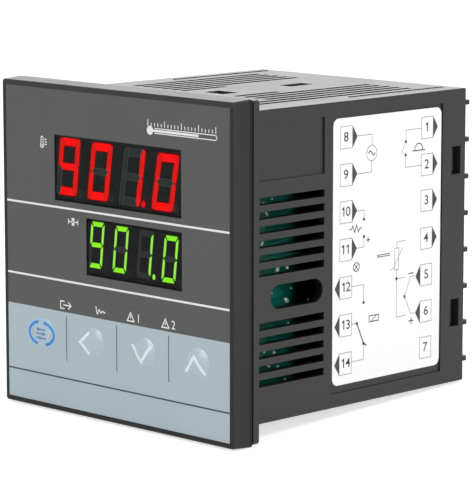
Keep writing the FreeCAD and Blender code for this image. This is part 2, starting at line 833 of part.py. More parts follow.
def build_relay(name):
    low = f"dims.{name}_low"
    block = box(f"{name}_block", f"-{inner_face}", f"-{inner_face} + dims.relay_height",
                "dims.relay_front", "dims.relay_rear", low, f"{low} + dims.relay_height")
    doc.recompute()
    rounded = doc.addObject("Part::Fillet", f"{name}_rounded")
    rounded.Base = block
    radius = size("dims.relay_edge")
    along_x = [i for i, edge in enumerate(block.Shape.Edges, start=1) if runs_along(edge, "X")]
    rounded.Edges = [(index, radius, radius) for index in along_x]
    keep(rounded, name)


def build_components():
    build_transformer()
    build_can("input_capacitor", "input_can")
    build_can("output_capacitor", "output_can")
    build_relay("output_relay")
    build_relay("alarm_relay")

    chip = box("chip", f"-{inner_face}", f"-{inner_face} + dims.chip_thickness",
               "dims.chip_front", "dims.chip_front + dims.chip_width",
               "dims.chip_low", "dims.chip_low + dims.chip_width")
    keep(chip, "microcontroller")

    # plugs in the corners between the front board and each side board
    corners = ((f"{inner_face} - dims.header_depth", inner_face),
               (f"-{inner_face}", f"-{inner_face} + dims.header_depth"))
    plugs = [box("header", low, high, board_back, f"{board_back} + dims.header_depth",
                 "-dims.header_length / 2", "dims.header_length / 2") for low, high in corners]
    group("board_headers", plugs)


build_boards()
build_components()


# ---- terminal strips: bays between barriers, with an outer and an inner wall ----

first_terminal = "(dims.terminal_rise - dims.terminal_pitch * (dims.terminals - 1) / 2)"
first_barrier = f"({first_terminal} - dims.terminal_pitch / 2 - dims.barrier_thickness / 2)"
bay_floor = "(dims.strip_front + dims.strip_base)"


def round_tab(sketch, left, right, root, tip, radius):
    # a tab with rounded free corners, standing up the sketch's second axis
    low, high = size(root), size(tip)
    start, end = size(left), size(right)
    bend = size(radius)
    turn = bend * (1 - 0.5 ** 0.5)
    point = FreeCAD.Vector
    first = sketch.GeometryCount
    sketch.addGeometry(Part.LineSegment(point(start, low, 0), point(end, low, 0)), False)
    sketch.addGeometry(Part.LineSegment(point(end, low, 0), point(end, high - bend, 0)), False)
    sketch.addGeometry(Part.Arc(point(end, high - bend, 0), point(end - turn, high - turn, 0),
                                point(end - bend, high, 0)), False)
    sketch.addGeometry(Part.LineSegment(point(end - bend, high, 0), point(start + bend, high, 0)), False)
    sketch.addGeometry(Part.Arc(point(start + bend, high, 0), point(start + turn, high - turn, 0),
                                point(start, high - bend, 0)), False)
    sketch.addGeometry(Part.LineSegment(point(start, high - bend, 0), point(start, low, 0)), False)
    for index in range(6):
        kind = "Coincident" if index in (0, 5) else "Tangent"
        following = first + (index + 1) % 6
        sketch.addConstraint(Sketcher.Constraint(kind, first + index, 2, following, 1))
    hold(sketch, "Radius", (first + 2,), radius)
    hold(sketch, "Radius", (first + 4,), radius)
    pin(sketch, first, 1, left, root)
    pin(sketch, first, 2, right, root)
    hold(sketch, "DistanceY", (-1, 1, first + 3, 1), tip)


def build_strip():
    body = new_body("terminal_strip_right")
    half = "dims.strip_height / 2"
    base = new_sketch(body, "XZ_Plane", "-dims.strip_front")
    rectangle(base, "dims.strip_inner", "dims.strip_outer", f"-{half}", half)
    pad(body, base, "dims.strip_base", "+Y")

    walls = new_sketch(body, "XZ_Plane", f"-{bay_floor}")
    rectangle(walls, "dims.strip_inner", "dims.strip_inner + dims.strip_inner_wall", f"-{half}", half)
    rectangle(walls, "dims.strip_outer - dims.strip_outer_wall", "dims.strip_outer", f"-{half}", half)
    pad(body, walls, f"dims.case_length - {bay_floor}", "+Y")

    tab = new_sketch(body, "XY_Plane", first_barrier)
    round_tab(tab, "dims.strip_inner", "dims.strip_outer", f"{bay_floor} - 0.5",
              "dims.barrier_tip", "dims.barrier_corner")
    barrier = pad(body, tab, "dims.barrier_thickness", "+Z")
    pattern(body, barrier, "Z_Axis", "dims.terminal_pitch", "dims.terminals + 1")

    # through slots for the contacts' tails and holes for the screws' ends
    passages = new_sketch(body, "XZ_Plane", f"-{bay_floor}")
    tail = "(dims.side_board_x - dims.tail_thickness / 2)"
    centred_rectangle(passages, tail, first_terminal, "dims.tail_thickness + 0.2", "dims.tail_width + 0.2")
    circle(passages, "dims.screw_x", first_terminal, "dims.screw_bore")
    through = pocket(body, passages, "dims.strip_base", "-Y")
    pattern(body, through, "Z_Axis", "dims.terminal_pitch", "dims.terminals")

    groove = new_sketch(body, "XZ_Plane", "-dims.strip_front")
    centred_rectangle(groove, "(dims.side_board_x + dims.board_thickness / 2)", "0",
                      "dims.board_thickness + 0.2", "dims.side_board_height + 0.2")
    pocket(body, groove, "dims.board_groove", "+Y")

    # wedges that snap into the housing's rear holes
    root = "dims.strip_outer - dims.wedge_root"
    crest = "dims.strip_outer + dims.wedge_rise"
    for low in ("dims.rear_hole_low", "-dims.rear_hole_low - dims.rear_hole_height"):
        wedge = new_sketch(body, "XY_Plane", f"{low} + dims.wedge_inset")
        polygon(wedge, [(root, "dims.rear_hole_front + dims.wedge_start"),
                        (crest, "dims.rear_hole_front + dims.wedge_crest"),
                        (crest, "dims.rear_hole_front + dims.wedge_end"),
                        (root, "dims.rear_hole_front + dims.wedge_end")])
        pad(body, wedge, "dims.rear_hole_height - 2 * dims.wedge_inset", "+Z")
    keep(left_hand("strip_left", body), "terminal_strip_left")


def build_rear_cover():
    body = new_body("rear_cover")
    outline = new_sketch(body, "XZ_Plane", "-dims.strip_front")
    centred_rectangle(outline, "0", "0", "2 * dims.strip_inner", "dims.strip_height")
    pad(body, outline, "dims.case_length - dims.strip_front", "+Y")
    hollow = new_sketch(body, "XZ_Plane", "-dims.strip_front")
    centred_rectangle(hollow, "0", "0", "2 * (dims.strip_inner - dims.cover_wall)",
                      "dims.strip_height - 2 * dims.cover_wall")
    pocket(body, hollow, "dims.case_length - dims.strip_front - dims.cover_wall", "+Y")


build_strip()
build_rear_cover()


# ---- terminal hardware: contact, clamp plate and screw in every bay ----

def build_contact(level):
    half_width = "dims.contact_width / 2"
    half_tail = "dims.tail_width / 2"
    strap = box("strap", "dims.contact_inner", "dims.contact_outer", bay_floor,
                f"{bay_floor} + dims.contact_thickness",
                f"{level} - {half_width}", f"{level} + {half_width}")
    tail = box("tail", "dims.side_board_x - dims.tail_thickness", "dims.side_board_x",
               f"{bay_floor} - dims.tail_length", f"{bay_floor} + dims.contact_thickness / 2",
               f"{level} - {half_tail}", f"{level} + {half_tail}")
    hole = rod_along_y("thread", "dims.screw_x", level, f"{bay_floor} - 1", f"{bay_floor} + 2",
                       "dims.screw_radius + 0.05")
    return cut("contact", fuse("contact_blank", [strap, tail]), hole)


def build_clamp(level):
    lower = f"({bay_floor} + dims.contact_thickness)"
    upper = f"({lower} + dims.clamp_thickness)"
    half_length = "dims.clamp_length / 2"
    half_width = "dims.contact_width / 2"
    plate = box("plate", f"dims.screw_x - {half_length}", f"dims.screw_x + {half_length}", lower, upper,
                f"{level} - {half_width}", f"{level} + {half_width}")
    hole = rod_along_y("clearance", "dims.screw_x", level, f"{lower} - 1", f"{upper} + 1",
                       "dims.screw_bore")
    return cut("clamp", plate, hole)


def build_screw(level):
    seat = f"({bay_floor} + dims.contact_thickness + dims.clamp_thickness)"
    crown = f"({seat} + dims.screw_head_height)"
    head = rod_along_y("head", "dims.screw_x", level, seat, crown, "dims.screw_head_radius")
    doc.recompute()
    eased = doc.addObject("Part::Chamfer", "eased_head")
    eased.Base = head
    rim = [i for i, edge in enumerate(head.Shape.Edges, start=1)
           if edge.BoundBox.YMin > size(crown) - 0.01]
    eased.Edges = [(index, size("dims.screw_head_edge"), size("dims.screw_head_edge")) for index in rim]
    shank = rod_along_y("shank", "dims.screw_x", level, f"{seat} - dims.screw_length",
                        f"{seat} + 0.5", "dims.screw_radius")
    reach = "(dims.screw_head_radius + 1)"
    slot = box("slot", f"dims.screw_x - {reach}", f"dims.screw_x + {reach}",
               f"{crown} - dims.screw_slot_depth", f"{crown} + 1",
               f"{level} - dims.screw_slot_width / 2", f"{level} + dims.screw_slot_width / 2")
    return cut("screw", fuse("screw_blank", [eased, shank]), slot)


def build_terminals():
    makers = {"terminal_contacts": build_contact, "clamp_plates": build_clamp,
              "terminal_screws": build_screw}
    for label, maker in makers.items():
        pieces = []
        for index in range(int(size("dims.terminals"))):
            level = f"({first_terminal} + {index} * dims.terminal_pitch)"
            piece = maker(level)
            pieces += [piece, left_hand(f"{label}_left", piece)]
        group(label, pieces)


build_terminals()


# ---- checks, then one STEP file for each sub-part ----

doc.recompute()
for thing in doc.Objects:
    if "Invalid" in thing.State or "Error" in thing.State:
        raise RuntimeError(f"{thing.Name} failed: {thing.State}")

os.makedirs("parts", exist_ok=True)
total = 0.0
for label, thing in nodes.items():
    shape = thing.Shape
    if shape.isNull() or not shape.isValid() or not shape.Solids:
        raise RuntimeError(f"{label} has no valid solid")
    total += shape.Volume
    extent = shape.BoundBox
    print(f"{label:22s} {len(shape.Solids):2d} solids {shape.Volume:10.1f} mm3  "
          f"x {extent.XMin:7.2f} {extent.XMax:7.2f}  y {extent.YMin:7.2f} {extent.YMax:7.2f}  "
          f"z {extent.ZMin:7.2f} {extent.ZMax:7.2f}")
    shape.exportStep(f"parts/{label}.step")
print(f"{len(nodes)} sub-parts, {total:.0f} mm3 in all")
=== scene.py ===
import math

import bmesh
import bpy
from mathutils import Matrix, Vector


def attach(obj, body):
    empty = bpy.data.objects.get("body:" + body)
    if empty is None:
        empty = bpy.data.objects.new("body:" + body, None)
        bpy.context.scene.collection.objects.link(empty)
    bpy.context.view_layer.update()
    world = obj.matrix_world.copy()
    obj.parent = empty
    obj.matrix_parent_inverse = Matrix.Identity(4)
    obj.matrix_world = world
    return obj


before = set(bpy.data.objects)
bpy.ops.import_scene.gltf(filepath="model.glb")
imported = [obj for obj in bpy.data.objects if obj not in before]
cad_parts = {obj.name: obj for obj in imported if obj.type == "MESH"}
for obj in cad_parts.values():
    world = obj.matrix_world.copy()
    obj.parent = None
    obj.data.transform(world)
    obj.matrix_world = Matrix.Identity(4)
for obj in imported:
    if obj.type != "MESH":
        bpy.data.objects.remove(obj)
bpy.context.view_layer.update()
mm = 0.001

# Faces of the controller, in millimetres in the model's own axes
filmFace = -7.38
displayFace = -6.98
labelFace = 31.30
boardFace = 22.0

# sockets of a colour mix, which have numbers and no names of their own
mixFirst = 6
mixSecond = 7
mixResult = 2


# Small node helpers: a "given" is a node and the output that is read from it

def addNode(tree, kind, place, **values):
    node = tree.nodes.new(kind)
    node.location = place
    for name, value in values.items():
        setattr(node, name, value)
    return node


def setInputs(node, **values):
    for name, value in values.items():
        node.inputs[name.replace("_", " ")].default_value = value


def join(tree, source, output, target, socket):
    tree.links.new(source.outputs[output], target.inputs[socket])


def combine(tree, place, operation, *inputs):
    # a math node, whose inputs are givens or plain numbers
    node = addNode(tree, "ShaderNodeMath", place, operation=operation)
    for socket, value in enumerate(inputs):
        if isinstance(value, tuple):
            join(tree, *value, node, socket)
        else:
            node.inputs[socket].default_value = value
    return node


def combineVectors(tree, place, operation, *inputs):
    node = addNode(tree, "ShaderNodeVectorMath", place, operation=operation)
    for socket, given in enumerate(inputs):
        join(tree, *given, node, "Scale" if operation == "SCALE" and socket == 1 else socket)
    return node


def objectAxes(tree, place):
    # the given of the object's own axes
    return addNode(tree, "ShaderNodeTexCoord", place), "Object"


def splitAxes(tree, place, given):
    axes = addNode(tree, "ShaderNodeSeparateXYZ", place)
    join(tree, *given, axes, "Vector")
    return axes


def spreadNoise(tree, place, given, **values):
    noise = addNode(tree, "ShaderNodeTexNoise", place)
    setInputs(noise, **values)
    join(tree, *given, noise, "Vector")
    return noise


def remap(tree, place, given, **values):
    span = addNode(tree, "ShaderNodeMapRange", place)
    setInputs(span, **values)
    join(tree, *given, span, "Value")
    return span


def blendTones(tree, place, mask, low, high):
    # goes from the low colour to the high one with the mask; the low one may be a given
    tone = addNode(tree, "ShaderNodeMix", place, data_type="RGBA")
    join(tree, *mask, tone, 0)
    if len(low) == 2:
        join(tree, *low, tone, mixFirst)
    else:
        tone.inputs[mixFirst].default_value = (*low, 1)
    tone.inputs[mixSecond].default_value = (*high, 1)
    return tone


def addBump(tree, place, given, target, **values):
    bump = addNode(tree, "ShaderNodeBump", place)
    setInputs(bump, **values)
    join(tree, *given, bump, "Height")
    join(tree, bump, "Normal", target, "Normal")
    return bump


def newGroup(name, inputs, outputs):
    tree = bpy.data.node_groups.new(name, "ShaderNodeTree")
    for label, kind, value in inputs:
        socket = tree.interface.new_socket(name=label, in_out="INPUT", socket_type=kind)
        socket.default_value = value
    for label, kind in outputs:
        tree.interface.new_socket(name=label, in_out="OUTPUT", socket_type=kind)
    return tree, addNode(tree, "NodeGroupInput", (-900, 0)), addNode(tree, "NodeGroupOutput", (700, 0))


# Shared effects

def makeMouldGrain():
    # the fine spark texture of a moulded shell, with broad uneven gloss
    tree, given, result = newGroup(
        "mouldGrain",
        [("Scale", "NodeSocketFloat", 900.0), ("Depth", "NodeSocketFloat", 0.5),
         ("Base", "NodeSocketColor", (0.03, 0.03, 0.03, 1)), ("Spread", "NodeSocketFloat", 0.12),
         ("Roughness", "NodeSocketFloat", 0.45)],
        [("Color", "NodeSocketColor"), ("Roughness", "NodeSocketFloat"), ("Normal", "NodeSocketVector")])
    position = objectAxes(tree, (-1100, -200))
    grain = spreadNoise(tree, (-650, -150), position, Detail=3.0, Roughness=0.6)
    join(tree, given, "Scale", grain, "Scale")
    broad = spreadNoise(tree, (-650, 150), position, Scale=45.0, Detail=4.0)
    around = combine(tree, (-400, 150), "SUBTRACT", (broad, "Fac"), 0.5)
    change = combine(tree, (-200, 150), "MULTIPLY", (around, "Value"), (given, "Spread"))
    gain = combine(tree, (0, 250), "MULTIPLY_ADD", (change, "Value"), 2.0, 1.0)
    tint = combineVectors(tree, (250, 250), "SCALE", (given, "Base"), (gain, "Value"))
    join(tree, tint, "Vector", result, "Color")
    gloss = combine(tree, (0, 50), "ADD", (change, "Value"), (given, "Roughness"))
    join(tree, gloss, "Value", result, "Roughness")
    bump = addBump(tree, (250, -150), (grain, "Fac"), result, Distance=0.00002)
    join(tree, given, "Depth", bump, "Strength")
    return tree


def makeEdgeWear():
    # pale rubbed edges, as a mask
    tree, given, result = newGroup(
        "edgeWear",
        [("Width", "NodeSocketFloat", 0.0006), ("Amount", "NodeSocketFloat", 0.5)],
        [("Mask", "NodeSocketFloat")])
    flat = addNode(tree, "ShaderNodeNewGeometry", (-700, -150))
    soft = addNode(tree, "ShaderNodeBevel", (-700, 150), samples=4)
    join(tree, given, "Width", soft, "Radius")
    agree = combineVectors(tree, (-450, 0), "DOT_PRODUCT", (soft, "Normal"), (flat, "Normal"))
    bent = remap(tree, (-200, 0), (agree, "Value"), From_Min=0.995, From_Max=0.8, To_Min=0.0, To_Max=1.0)
    position = objectAxes(tree, (-700, 400))
    patches = spreadNoise(tree, (-450, 400), position, Scale=160.0, Detail=4.0)
    worn = combine(tree, (0, 200), "MULTIPLY", (bent, "Result"), (patches, "Fac"))
    scaled = combine(tree, (250, 100), "MULTIPLY", (worn, "Value"), (given, "Amount"))
    join(tree, scaled, "Value", result, "Mask")
    return tree


dustColor = (0.55, 0.54, 0.52)


def makeFineDust():
    # faint dust that lies on faces turned upwards
    tree, given, result = newGroup(
        "fineDust",
        [("Color", "NodeSocketColor", (0.1, 0.1, 0.1, 1)), ("Amount", "NodeSocketFloat", 0.1)],
        [("Color", "NodeSocketColor")])
    faces = addNode(tree, "ShaderNodeNewGeometry", (-900, 200))
    turned = splitAxes(tree, (-700, 200), (faces, "Normal"))
    upward = remap(tree, (-500, 200), (turned, "Z"), From_Min=0.3, From_Max=1.0, To_Min=0.15, To_Max=1.0)
    position = objectAxes(tree, (-900, -100))
    specks = spreadNoise(tree, (-700, -100), position, Scale=420.0, Detail=6.0, Roughness=0.7)
    sparse = remap(tree, (-500, -100), (specks, "Fac"), From_Min=0.5, From_Max=0.75)
    cover = combine(tree, (-250, 50), "MULTIPLY", (upward, "Result"), (sparse, "Result"))
    share = combine(tree, (0, 50), "MULTIPLY", (cover, "Value"), (given, "Amount"))
    blend = blendTones(tree, (300, 0), (share, "Value"), (given, "Color"), dustColor)
    join(tree, blend, mixResult, result, "Color")
    return tree


def makeDeepShade():
    # painted shade: darkens the colour of what lies inside a box, such as the walls of a slot or a groove
    tree, given, result = newGroup(
        "deepShade",
        [("Color", "NodeSocketColor", (0.1, 0.1, 0.1, 1)), ("Centre", "NodeSocketVector", (0, 0, 0)),
         ("Half", "NodeSocketVector", (0, 0, 0)), ("Kept", "NodeSocketFloat", 0.1)],
        [("Color", "NodeSocketColor")])
    position = objectAxes(tree, (-1300, 0))
    apart = combineVectors(tree, (-1100, 0), "SUBTRACT", position, (given, "Centre"))
    distance = combineVectors(tree, (-900, 100), "ABSOLUTE", (apart, "Vector"))
    beyond = combineVectors(tree, (-700, 0), "SUBTRACT", (distance, "Vector"), (given, "Half"))
    sides = splitAxes(tree, (-500, 0), (beyond, "Vector"))
    wider = combine(tree, (-300, 100), "MAXIMUM", (sides, "X"), (sides, "Y"))
    widest = combine(tree, (-100, 50), "MAXIMUM", (wider, "Value"), (sides, "Z"))
    share = remap(tree, (100, 50), (widest, "Value"), From_Min=0.0, From_Max=0.00002, To_Max=1.0)
    join(tree, given, "Kept", share, "To Min")
    scaled = combineVectors(tree, (400, 0), "SCALE", (given, "Color"), (share, "Result"))
    join(tree, scaled, "Vector", result, "Color")
    return tree


mouldGrain = makeMouldGrain()
edgeWear = makeEdgeWear()
fineDust = makeFineDust()
deepShade = makeDeepShade()


# Materials

def newMaterial(name, **values):
    # what is the same all over the surface goes on the shader's own sockets
    material = bpy.data.materials.new(name)
    material.use_nodes = True
    tree = material.node_tree
    shader = tree.nodes["Principled BSDF"]
    setInputs(shader, **values)
    return material, tree, shader


def grainedMaterial(name, look):
    # moulded plastic or resin: grain, uneven gloss, rubbed edges, a little dust, and painted shade in the
    # boxes given
    material, tree, shader = newMaterial(name, Specular_IOR_Level=look["specular"])
    grain = addNode(tree, "ShaderNodeGroup", (-900, 0), node_tree=mouldGrain)
    setInputs(grain, Scale=look["grainScale"], Depth=look["grainDepth"], Base=(*look["color"], 1),
              Spread=look["spread"], Roughness=look["roughness"])
    rub = addNode(tree, "ShaderNodeGroup", (-900, 300), node_tree=edgeWear)
    setInputs(rub, Width=look["wearWidth"], Amount=look["wear"])
    worn = blendTones(tree, (-600, 200), (rub, "Mask"), (grain, "Color"), look["wornColor"])
    last = addNode(tree, "ShaderNodeGroup", (-350, 200), node_tree=fineDust)
    setInputs(last, Amount=look["dust"])
    join(tree, worn, mixResult, last, "Color")
    # painted shade in each deep place of the shell
    for centre, half, kept in look.get("shaded", ()):
        deep = addNode(tree, "ShaderNodeGroup", (last.location.x + 180, 350), node_tree=deepShade)
        setInputs(deep, Centre=Vector(centre) * mm, Half=Vector(half) * mm, Kept=kept)
        join(tree, last, "Color", deep, "Color")
        last = deep
    join(tree, last, "Color", shader, "Base Color")
    join(tree, grain, "Roughness", shader, "Roughness")
    join(tree, grain, "Normal", shader, "Normal")
    return material


def metalMaterial(name, look):
    # plated or drawn metal with fine lines along one axis
    material, tree, shader = newMaterial(name, Metallic=look.get("metallic", 1.0))
    position = objectAxes(tree, (-1200, 0))
    stretch = addNode(tree, "ShaderNodeMapping", (-1000, 0))
    setInputs(stretch, Scale=look["stretch"])
    join(tree, *position, stretch, "Vector")
    lines = spreadNoise(tree, (-800, 0), (stretch, "Vector"),
                        Scale=look["lineScale"], Detail=5.0, Roughness=0.65)
    tone = blendTones(tree, (-500, 200), (lines, "Fac"), look["color"], look["tarnish"])
    join(tree, tone, mixResult, shader, "Base Color")
    gloss = remap(tree, (-500, -50), (lines, "Fac"),
                  To_Min=look["roughness"] - 0.08, To_Max=look["roughness"] + 0.12)
    join(tree, gloss, "Result", shader, "Roughness")
    addBump(tree, (-300, -250), (lines, "Fac"), shader, Strength=0.3, Distance=0.00002)
    return material


blackShell = {
    "color": (0.021, 0.021, 0.020), "grainScale": 1500.0, "grainDepth": 0.45, "spread": 0.10,
    "roughness": 0.40, "wearWidth": 0.0004, "wear": 0.22, "wornColor": (0.10, 0.10, 0.10),
    "dust": 0.05, "specular": 0.3,
}
# the deep places of each shell as boxes of painted shade: centre, half its size, and the share of colour kept
caseShell = dict(blackShell, shaded=(
    ((0, 23, -7), (30.9, 15.5, 27), 0.08),  # inside the side vents and the hole
    ((0, -6, 0), (37, 3.75, 37), 0.08),  # the flange's front face, in the groove behind the frame
    ((31.38, 22.5, 0), (0.1, 15, 36), 0.1),  # the steps round the recess of the side vents
))
frontShell = dict(blackShell, color=(0.018, 0.018, 0.018), specular=0.20, shaded=(
    ((0, -1.6, 0), (37, 1.45, 37), 0.08),  # the rear rim, beside the groove
    ((0, -1.6, 0), (35.5, 4.0, 35.5), 0.08),  # the hollow back with its hooks
    ((0, -7.5, -1.3), (37, 0.1, 35.7), 0.3),  # painted shade on the front rim below its top edge, darker than the sides
    ((35.95, -7.3, 0), (0.22, 0.25, 37), 0.1),  # a painted shade line on the front edge, at the right and on top
    ((0, -7.3, 35.95), (37, 0.25, 0.2), 0.1),
))
stripShell = dict(blackShell, color=(0.012, 0.012, 0.012), roughness=0.5)
blackResin = dict(blackShell, color=(0.012, 0.012, 0.012), grainScale=2500.0, roughness=0.55, wear=0.1)
nylon = dict(blackShell, color=(0.72, 0.71, 0.66), wornColor=(0.8, 0.8, 0.76), wear=0.1, roughness=0.5)
relayShell = dict(blackShell, color=(0.02, 0.07, 0.28), wornColor=(0.1, 0.2, 0.45), roughness=0.35)
ferriteCore = dict(blackShell, color=(0.05, 0.05, 0.055), grainScale=700.0, grainDepth=0.9, roughness=0.7)
windingTape = dict(blackShell, color=(0.62, 0.45, 0.05), wornColor=(0.75, 0.6, 0.2), roughness=0.3)
canSleeve = dict(blackShell, color=(0.015, 0.02, 0.05), grainScale=3000.0, grainDepth=0.15, roughness=0.25)
zincPlate = {"color": (0.66, 0.65, 0.62), "tarnish": (0.42, 0.41, 0.38), "roughness": 0.3,
             "stretch": (1.0, 1.0, 6.0), "lineScale": 700.0}
brassPlate = {"color": (0.72, 0.52, 0.22), "tarnish": (0.45, 0.33, 0.15), "roughness": 0.32,
              "stretch": (6.0, 1.0, 1.0), "lineScale": 600.0}
solder = {"color": (0.92, 0.92, 0.90), "tarnish": (0.75, 0.75, 0.74), "roughness": 0.25, "metallic": 0.2,
          "stretch": (1.0, 1.0, 1.0), "lineScale": 900.0}

caseMaterial = grainedMaterial("caseShell", caseShell)
bezelMaterial = grainedMaterial("frontShell", frontShell)
stripMaterial = grainedMaterial("stripShell", stripShell)
resinMaterial = grainedMaterial("blackResin", blackResin)
nylonMaterial = grainedMaterial("naturalNylon", nylon)
relayMaterial = grainedMaterial("relayShell", relayShell)
ferriteMaterial = grainedMaterial("ferriteCore", ferriteCore)
tapeMaterial = grainedMaterial("windingTape", windingTape)
sleeveMaterial = grainedMaterial("canSleeve", canSleeve)
zincMaterial = metalMaterial("zincPlate", zincPlate)
brassMaterial = metalMaterial("brassPlate", brassPlate)
solderMaterial = metalMaterial("solder", solder)


film = {
    "dark": (0.066, 0.069, 0.065), "silver": (0.40, 0.485, 0.535), "silverEdge": -13.6,
    "roughness": 0.42, "specular": 0.3, "keyRoughness": 0.22, "keySpecular": 0.7,
    "grain": 2600.0, "mottle": 0.05, "glossDrift": 0.06,
}


def filmMaterial(name, roughness, specular):
    # printed film: dark above, silver below, with the fine texture of a hard coat
    material, tree, shader = newMaterial(name, Specular_IOR_Level=specular)
    position = objectAxes(tree, (-1300, 0))
    axes = splitAxes(tree, (-1100, 200), position)
    below = combine(tree, (-900, 200), "LESS_THAN", (axes, "Z"), film["silverEdge"] * mm)
    inks = blendTones(tree, (-650, 200), (below, "Value"), film["dark"], film["silver"])
    cloud = spreadNoise(tree, (-1100, -100), position, Scale=55.0, Detail=3.0)
    shade = remap(tree, (-850, -100), (cloud, "Fac"),
                  To_Min=1.0 - film["mottle"], To_Max=1.0 + film["mottle"])
    mottled = combineVectors(tree, (-400, 100), "SCALE", (inks, mixResult), (shade, "Result"))
    join(tree, mottled, "Vector", shader, "Base Color")
    texture = spreadNoise(tree, (-850, -350), position, Scale=film["grain"], Detail=2.0)
    addBump(tree, (-400, -350), (texture, "Fac"), shader, Strength=0.25, Distance=0.00001)
    gloss = remap(tree, (-400, -100), (texture, "Fac"),
                  To_Min=roughness - film["glossDrift"], To_Max=roughness + film["glossDrift"])
    join(tree, gloss, "Result", shader, "Roughness")
    return material


overlayMaterial = filmMaterial("printedFilm", film["roughness"], film["specular"])
keyMaterial = filmMaterial("domedKeyFilm", film["keyRoughness"], film["keySpecular"])

pane = {
    "color": (0.004, 0.004, 0.004), "alpha": 0.30, "roughness": 0.08, "hazeRoughness": 0.18, "specular": 0.05,
}


def paneMaterial():
    # smoked pane with a faint haze
    material, tree, shader = newMaterial("smokedPane", Base_Color=(*pane["color"], 1), Alpha=pane["alpha"],
                                         Specular_IOR_Level=pane["specular"])
    position = objectAxes(tree, (-900, 0))
    haze = spreadNoise(tree, (-700, 0), position, Scale=240.0, Detail=5.0)
    gloss = remap(tree, (-450, 0), (haze, "Fac"), From_Min=0.4, From_Max=0.8,
                  To_Min=pane["roughness"], To_Max=pane["hazeRoughness"])
    join(tree, gloss, "Result", shader, "Roughness")
    return material


def driftingMaterial(name, noise, low, high, socket, relief=None, **values):
    # a colour that drifts between two near tones, and a slight relief where one is given
    material, tree, shader = newMaterial(name, **values)
    position = objectAxes(tree, (-900, 0))
    cells = spreadNoise(tree, (-700, 0), position, **noise)
    tone = blendTones(tree, (-400, 0), (cells, "Fac"), low, high)
    join(tree, tone, mixResult, shader, socket)
    if relief:
        addBump(tree, (-400, -200), (cells, "Fac"), shader, **relief)
    return material


barStrength = 2.2


def glowMaterial(name, color, body):
    # a lit light bar, or the painted glow round one: its own colour glows a little unevenly along its length
    return driftingMaterial(name, {"Scale": 320.0, "Detail": 1.0}, [c * 0.85 for c in color], color,
                            "Emission Color", Base_Color=(*body, 1), Emission_Strength=barStrength,
                            Roughness=0.6, Specular_IOR_Level=0.08)


def printMaterial(name, color, roughness=0.5):
    # screen ink, faintly uneven where it was laid down
    return driftingMaterial(name, {"Scale": 1800.0, "Detail": 3.0}, [c * 0.9 for c in color],
                            [min(1.0, c * 1.08) for c in color], "Base Color",
                            Roughness=roughness, Specular_IOR_Level=0.3)


def paperMaterial():
    # coated label paper with fine fibres
    return driftingMaterial("labelPaper", {"Scale": 1400.0, "Detail": 6.0, "Roughness": 0.7},
                            (0.86, 0.86, 0.86), (0.93, 0.93, 0.93), "Base Color",
                            {"Strength": 0.15, "Distance": 0.00001}, Roughness=0.5, Specular_IOR_Level=0.3)


# the board's painted shade starts at shadeFrom, is full at shadeTo, and there keeps shadeKept of the colour
circuit = {"mask": (0.002, 0.085, 0.065), "trace": (0.004, 0.130, 0.100), "traceScale": 330.0,
           "roughness": 0.28, "shadeFrom": 22.5, "shadeTo": 26.0, "shadeKept": 0.03}


def boardMaterial():
    # solder mask over copper tracks, which show as paler, slightly raised bands; towards the back it goes
    # dark with painted shade, out of the light that comes in through the vents
    material, tree, shader = newMaterial("circuitBoard", Roughness=circuit["roughness"])
    position = objectAxes(tree, (-1300, 0))
    squash = addNode(tree, "ShaderNodeMapping", (-1100, 0))
    setInputs(squash, Scale=(1.0, 0.35, 1.0))
    join(tree, *position, squash, "Vector")
    tracks = addNode(tree, "ShaderNodeTexVoronoi", (-850, 0),
                     feature="DISTANCE_TO_EDGE", distance="CHEBYCHEV")
    setInputs(tracks, Scale=circuit["traceScale"])
    join(tree, squash, "Vector", tracks, "Vector")
    band = remap(tree, (-600, 0), (tracks, "Distance"), From_Min=0.05, From_Max=0.12)
    tone = blendTones(tree, (-350, 150), (band, "Result"), circuit["mask"], circuit["trace"])
    axes = splitAxes(tree, (-600, 350), position)
    # painted shade: the colour falls to a small share towards the back of the board
    boardShade = remap(tree, (-350, 350), (axes, "Y"), From_Min=circuit["shadeFrom"] * mm,
                 From_Max=circuit["shadeTo"] * mm, To_Min=1.0, To_Max=circuit["shadeKept"])
    shadedBoard = combineVectors(tree, (-150, 250), "SCALE", (tone, mixResult), (boardShade, "Result"))
    join(tree, shadedBoard, "Vector", shader, "Base Color")
    addBump(tree, (-350, -200), (band, "Result"), shader, Strength=0.6, Distance=0.00004)
    return material


smokedPane = paneMaterial()
redFlat = glowMaterial("redFlatBar", (1.0, 0.0, 0.0), (0.01, 0.0, 0.0))
redTall = glowMaterial("redTallBar", (0.63, 0.006, 0.003), (0.02, 0.0, 0.0))
# the halos are painted glow: dim glowing sheets that stand for the light spread round the lit bars
redHalo = glowMaterial("redHalo", (0.090, 0.0, 0.0), (0.002, 0.001, 0.001))
greenFlat = glowMaterial("greenFlatBar", (0.270, 0.86, 0.022), (0.0, 0.02, 0.0))
greenTall = glowMaterial("greenTallBar", (0.30, 0.80, 0.075), (0.0, 0.02, 0.0))
greenHalo = glowMaterial("greenHalo", (0.001, 0.024, 0.0), (0.001, 0.002, 0.001))
offBar = printMaterial("unlitBar", (0.062, 0.074, 0.072), 0.5)
offRim = printMaterial("unlitRim", (0.17, 0.19, 0.19), 0.5)
moduleShell = dict(blackResin, color=(0.034, 0.046, 0.041), specular=0.06, grainDepth=0.1, wear=0.0, dust=0.0)
pvModule = grainedMaterial("measuredModule", moduleShell)
svModule = grainedMaterial("setModule", dict(moduleShell, color=(0.042, 0.036, 0.046)))
whiteInk = printMaterial("whiteInk", (0.80, 0.80, 0.80))
coolInk = printMaterial("coolInk", (0.72, 0.84, 0.86))
blueInk = printMaterial("blueInk", (0.075, 0.225, 0.50))
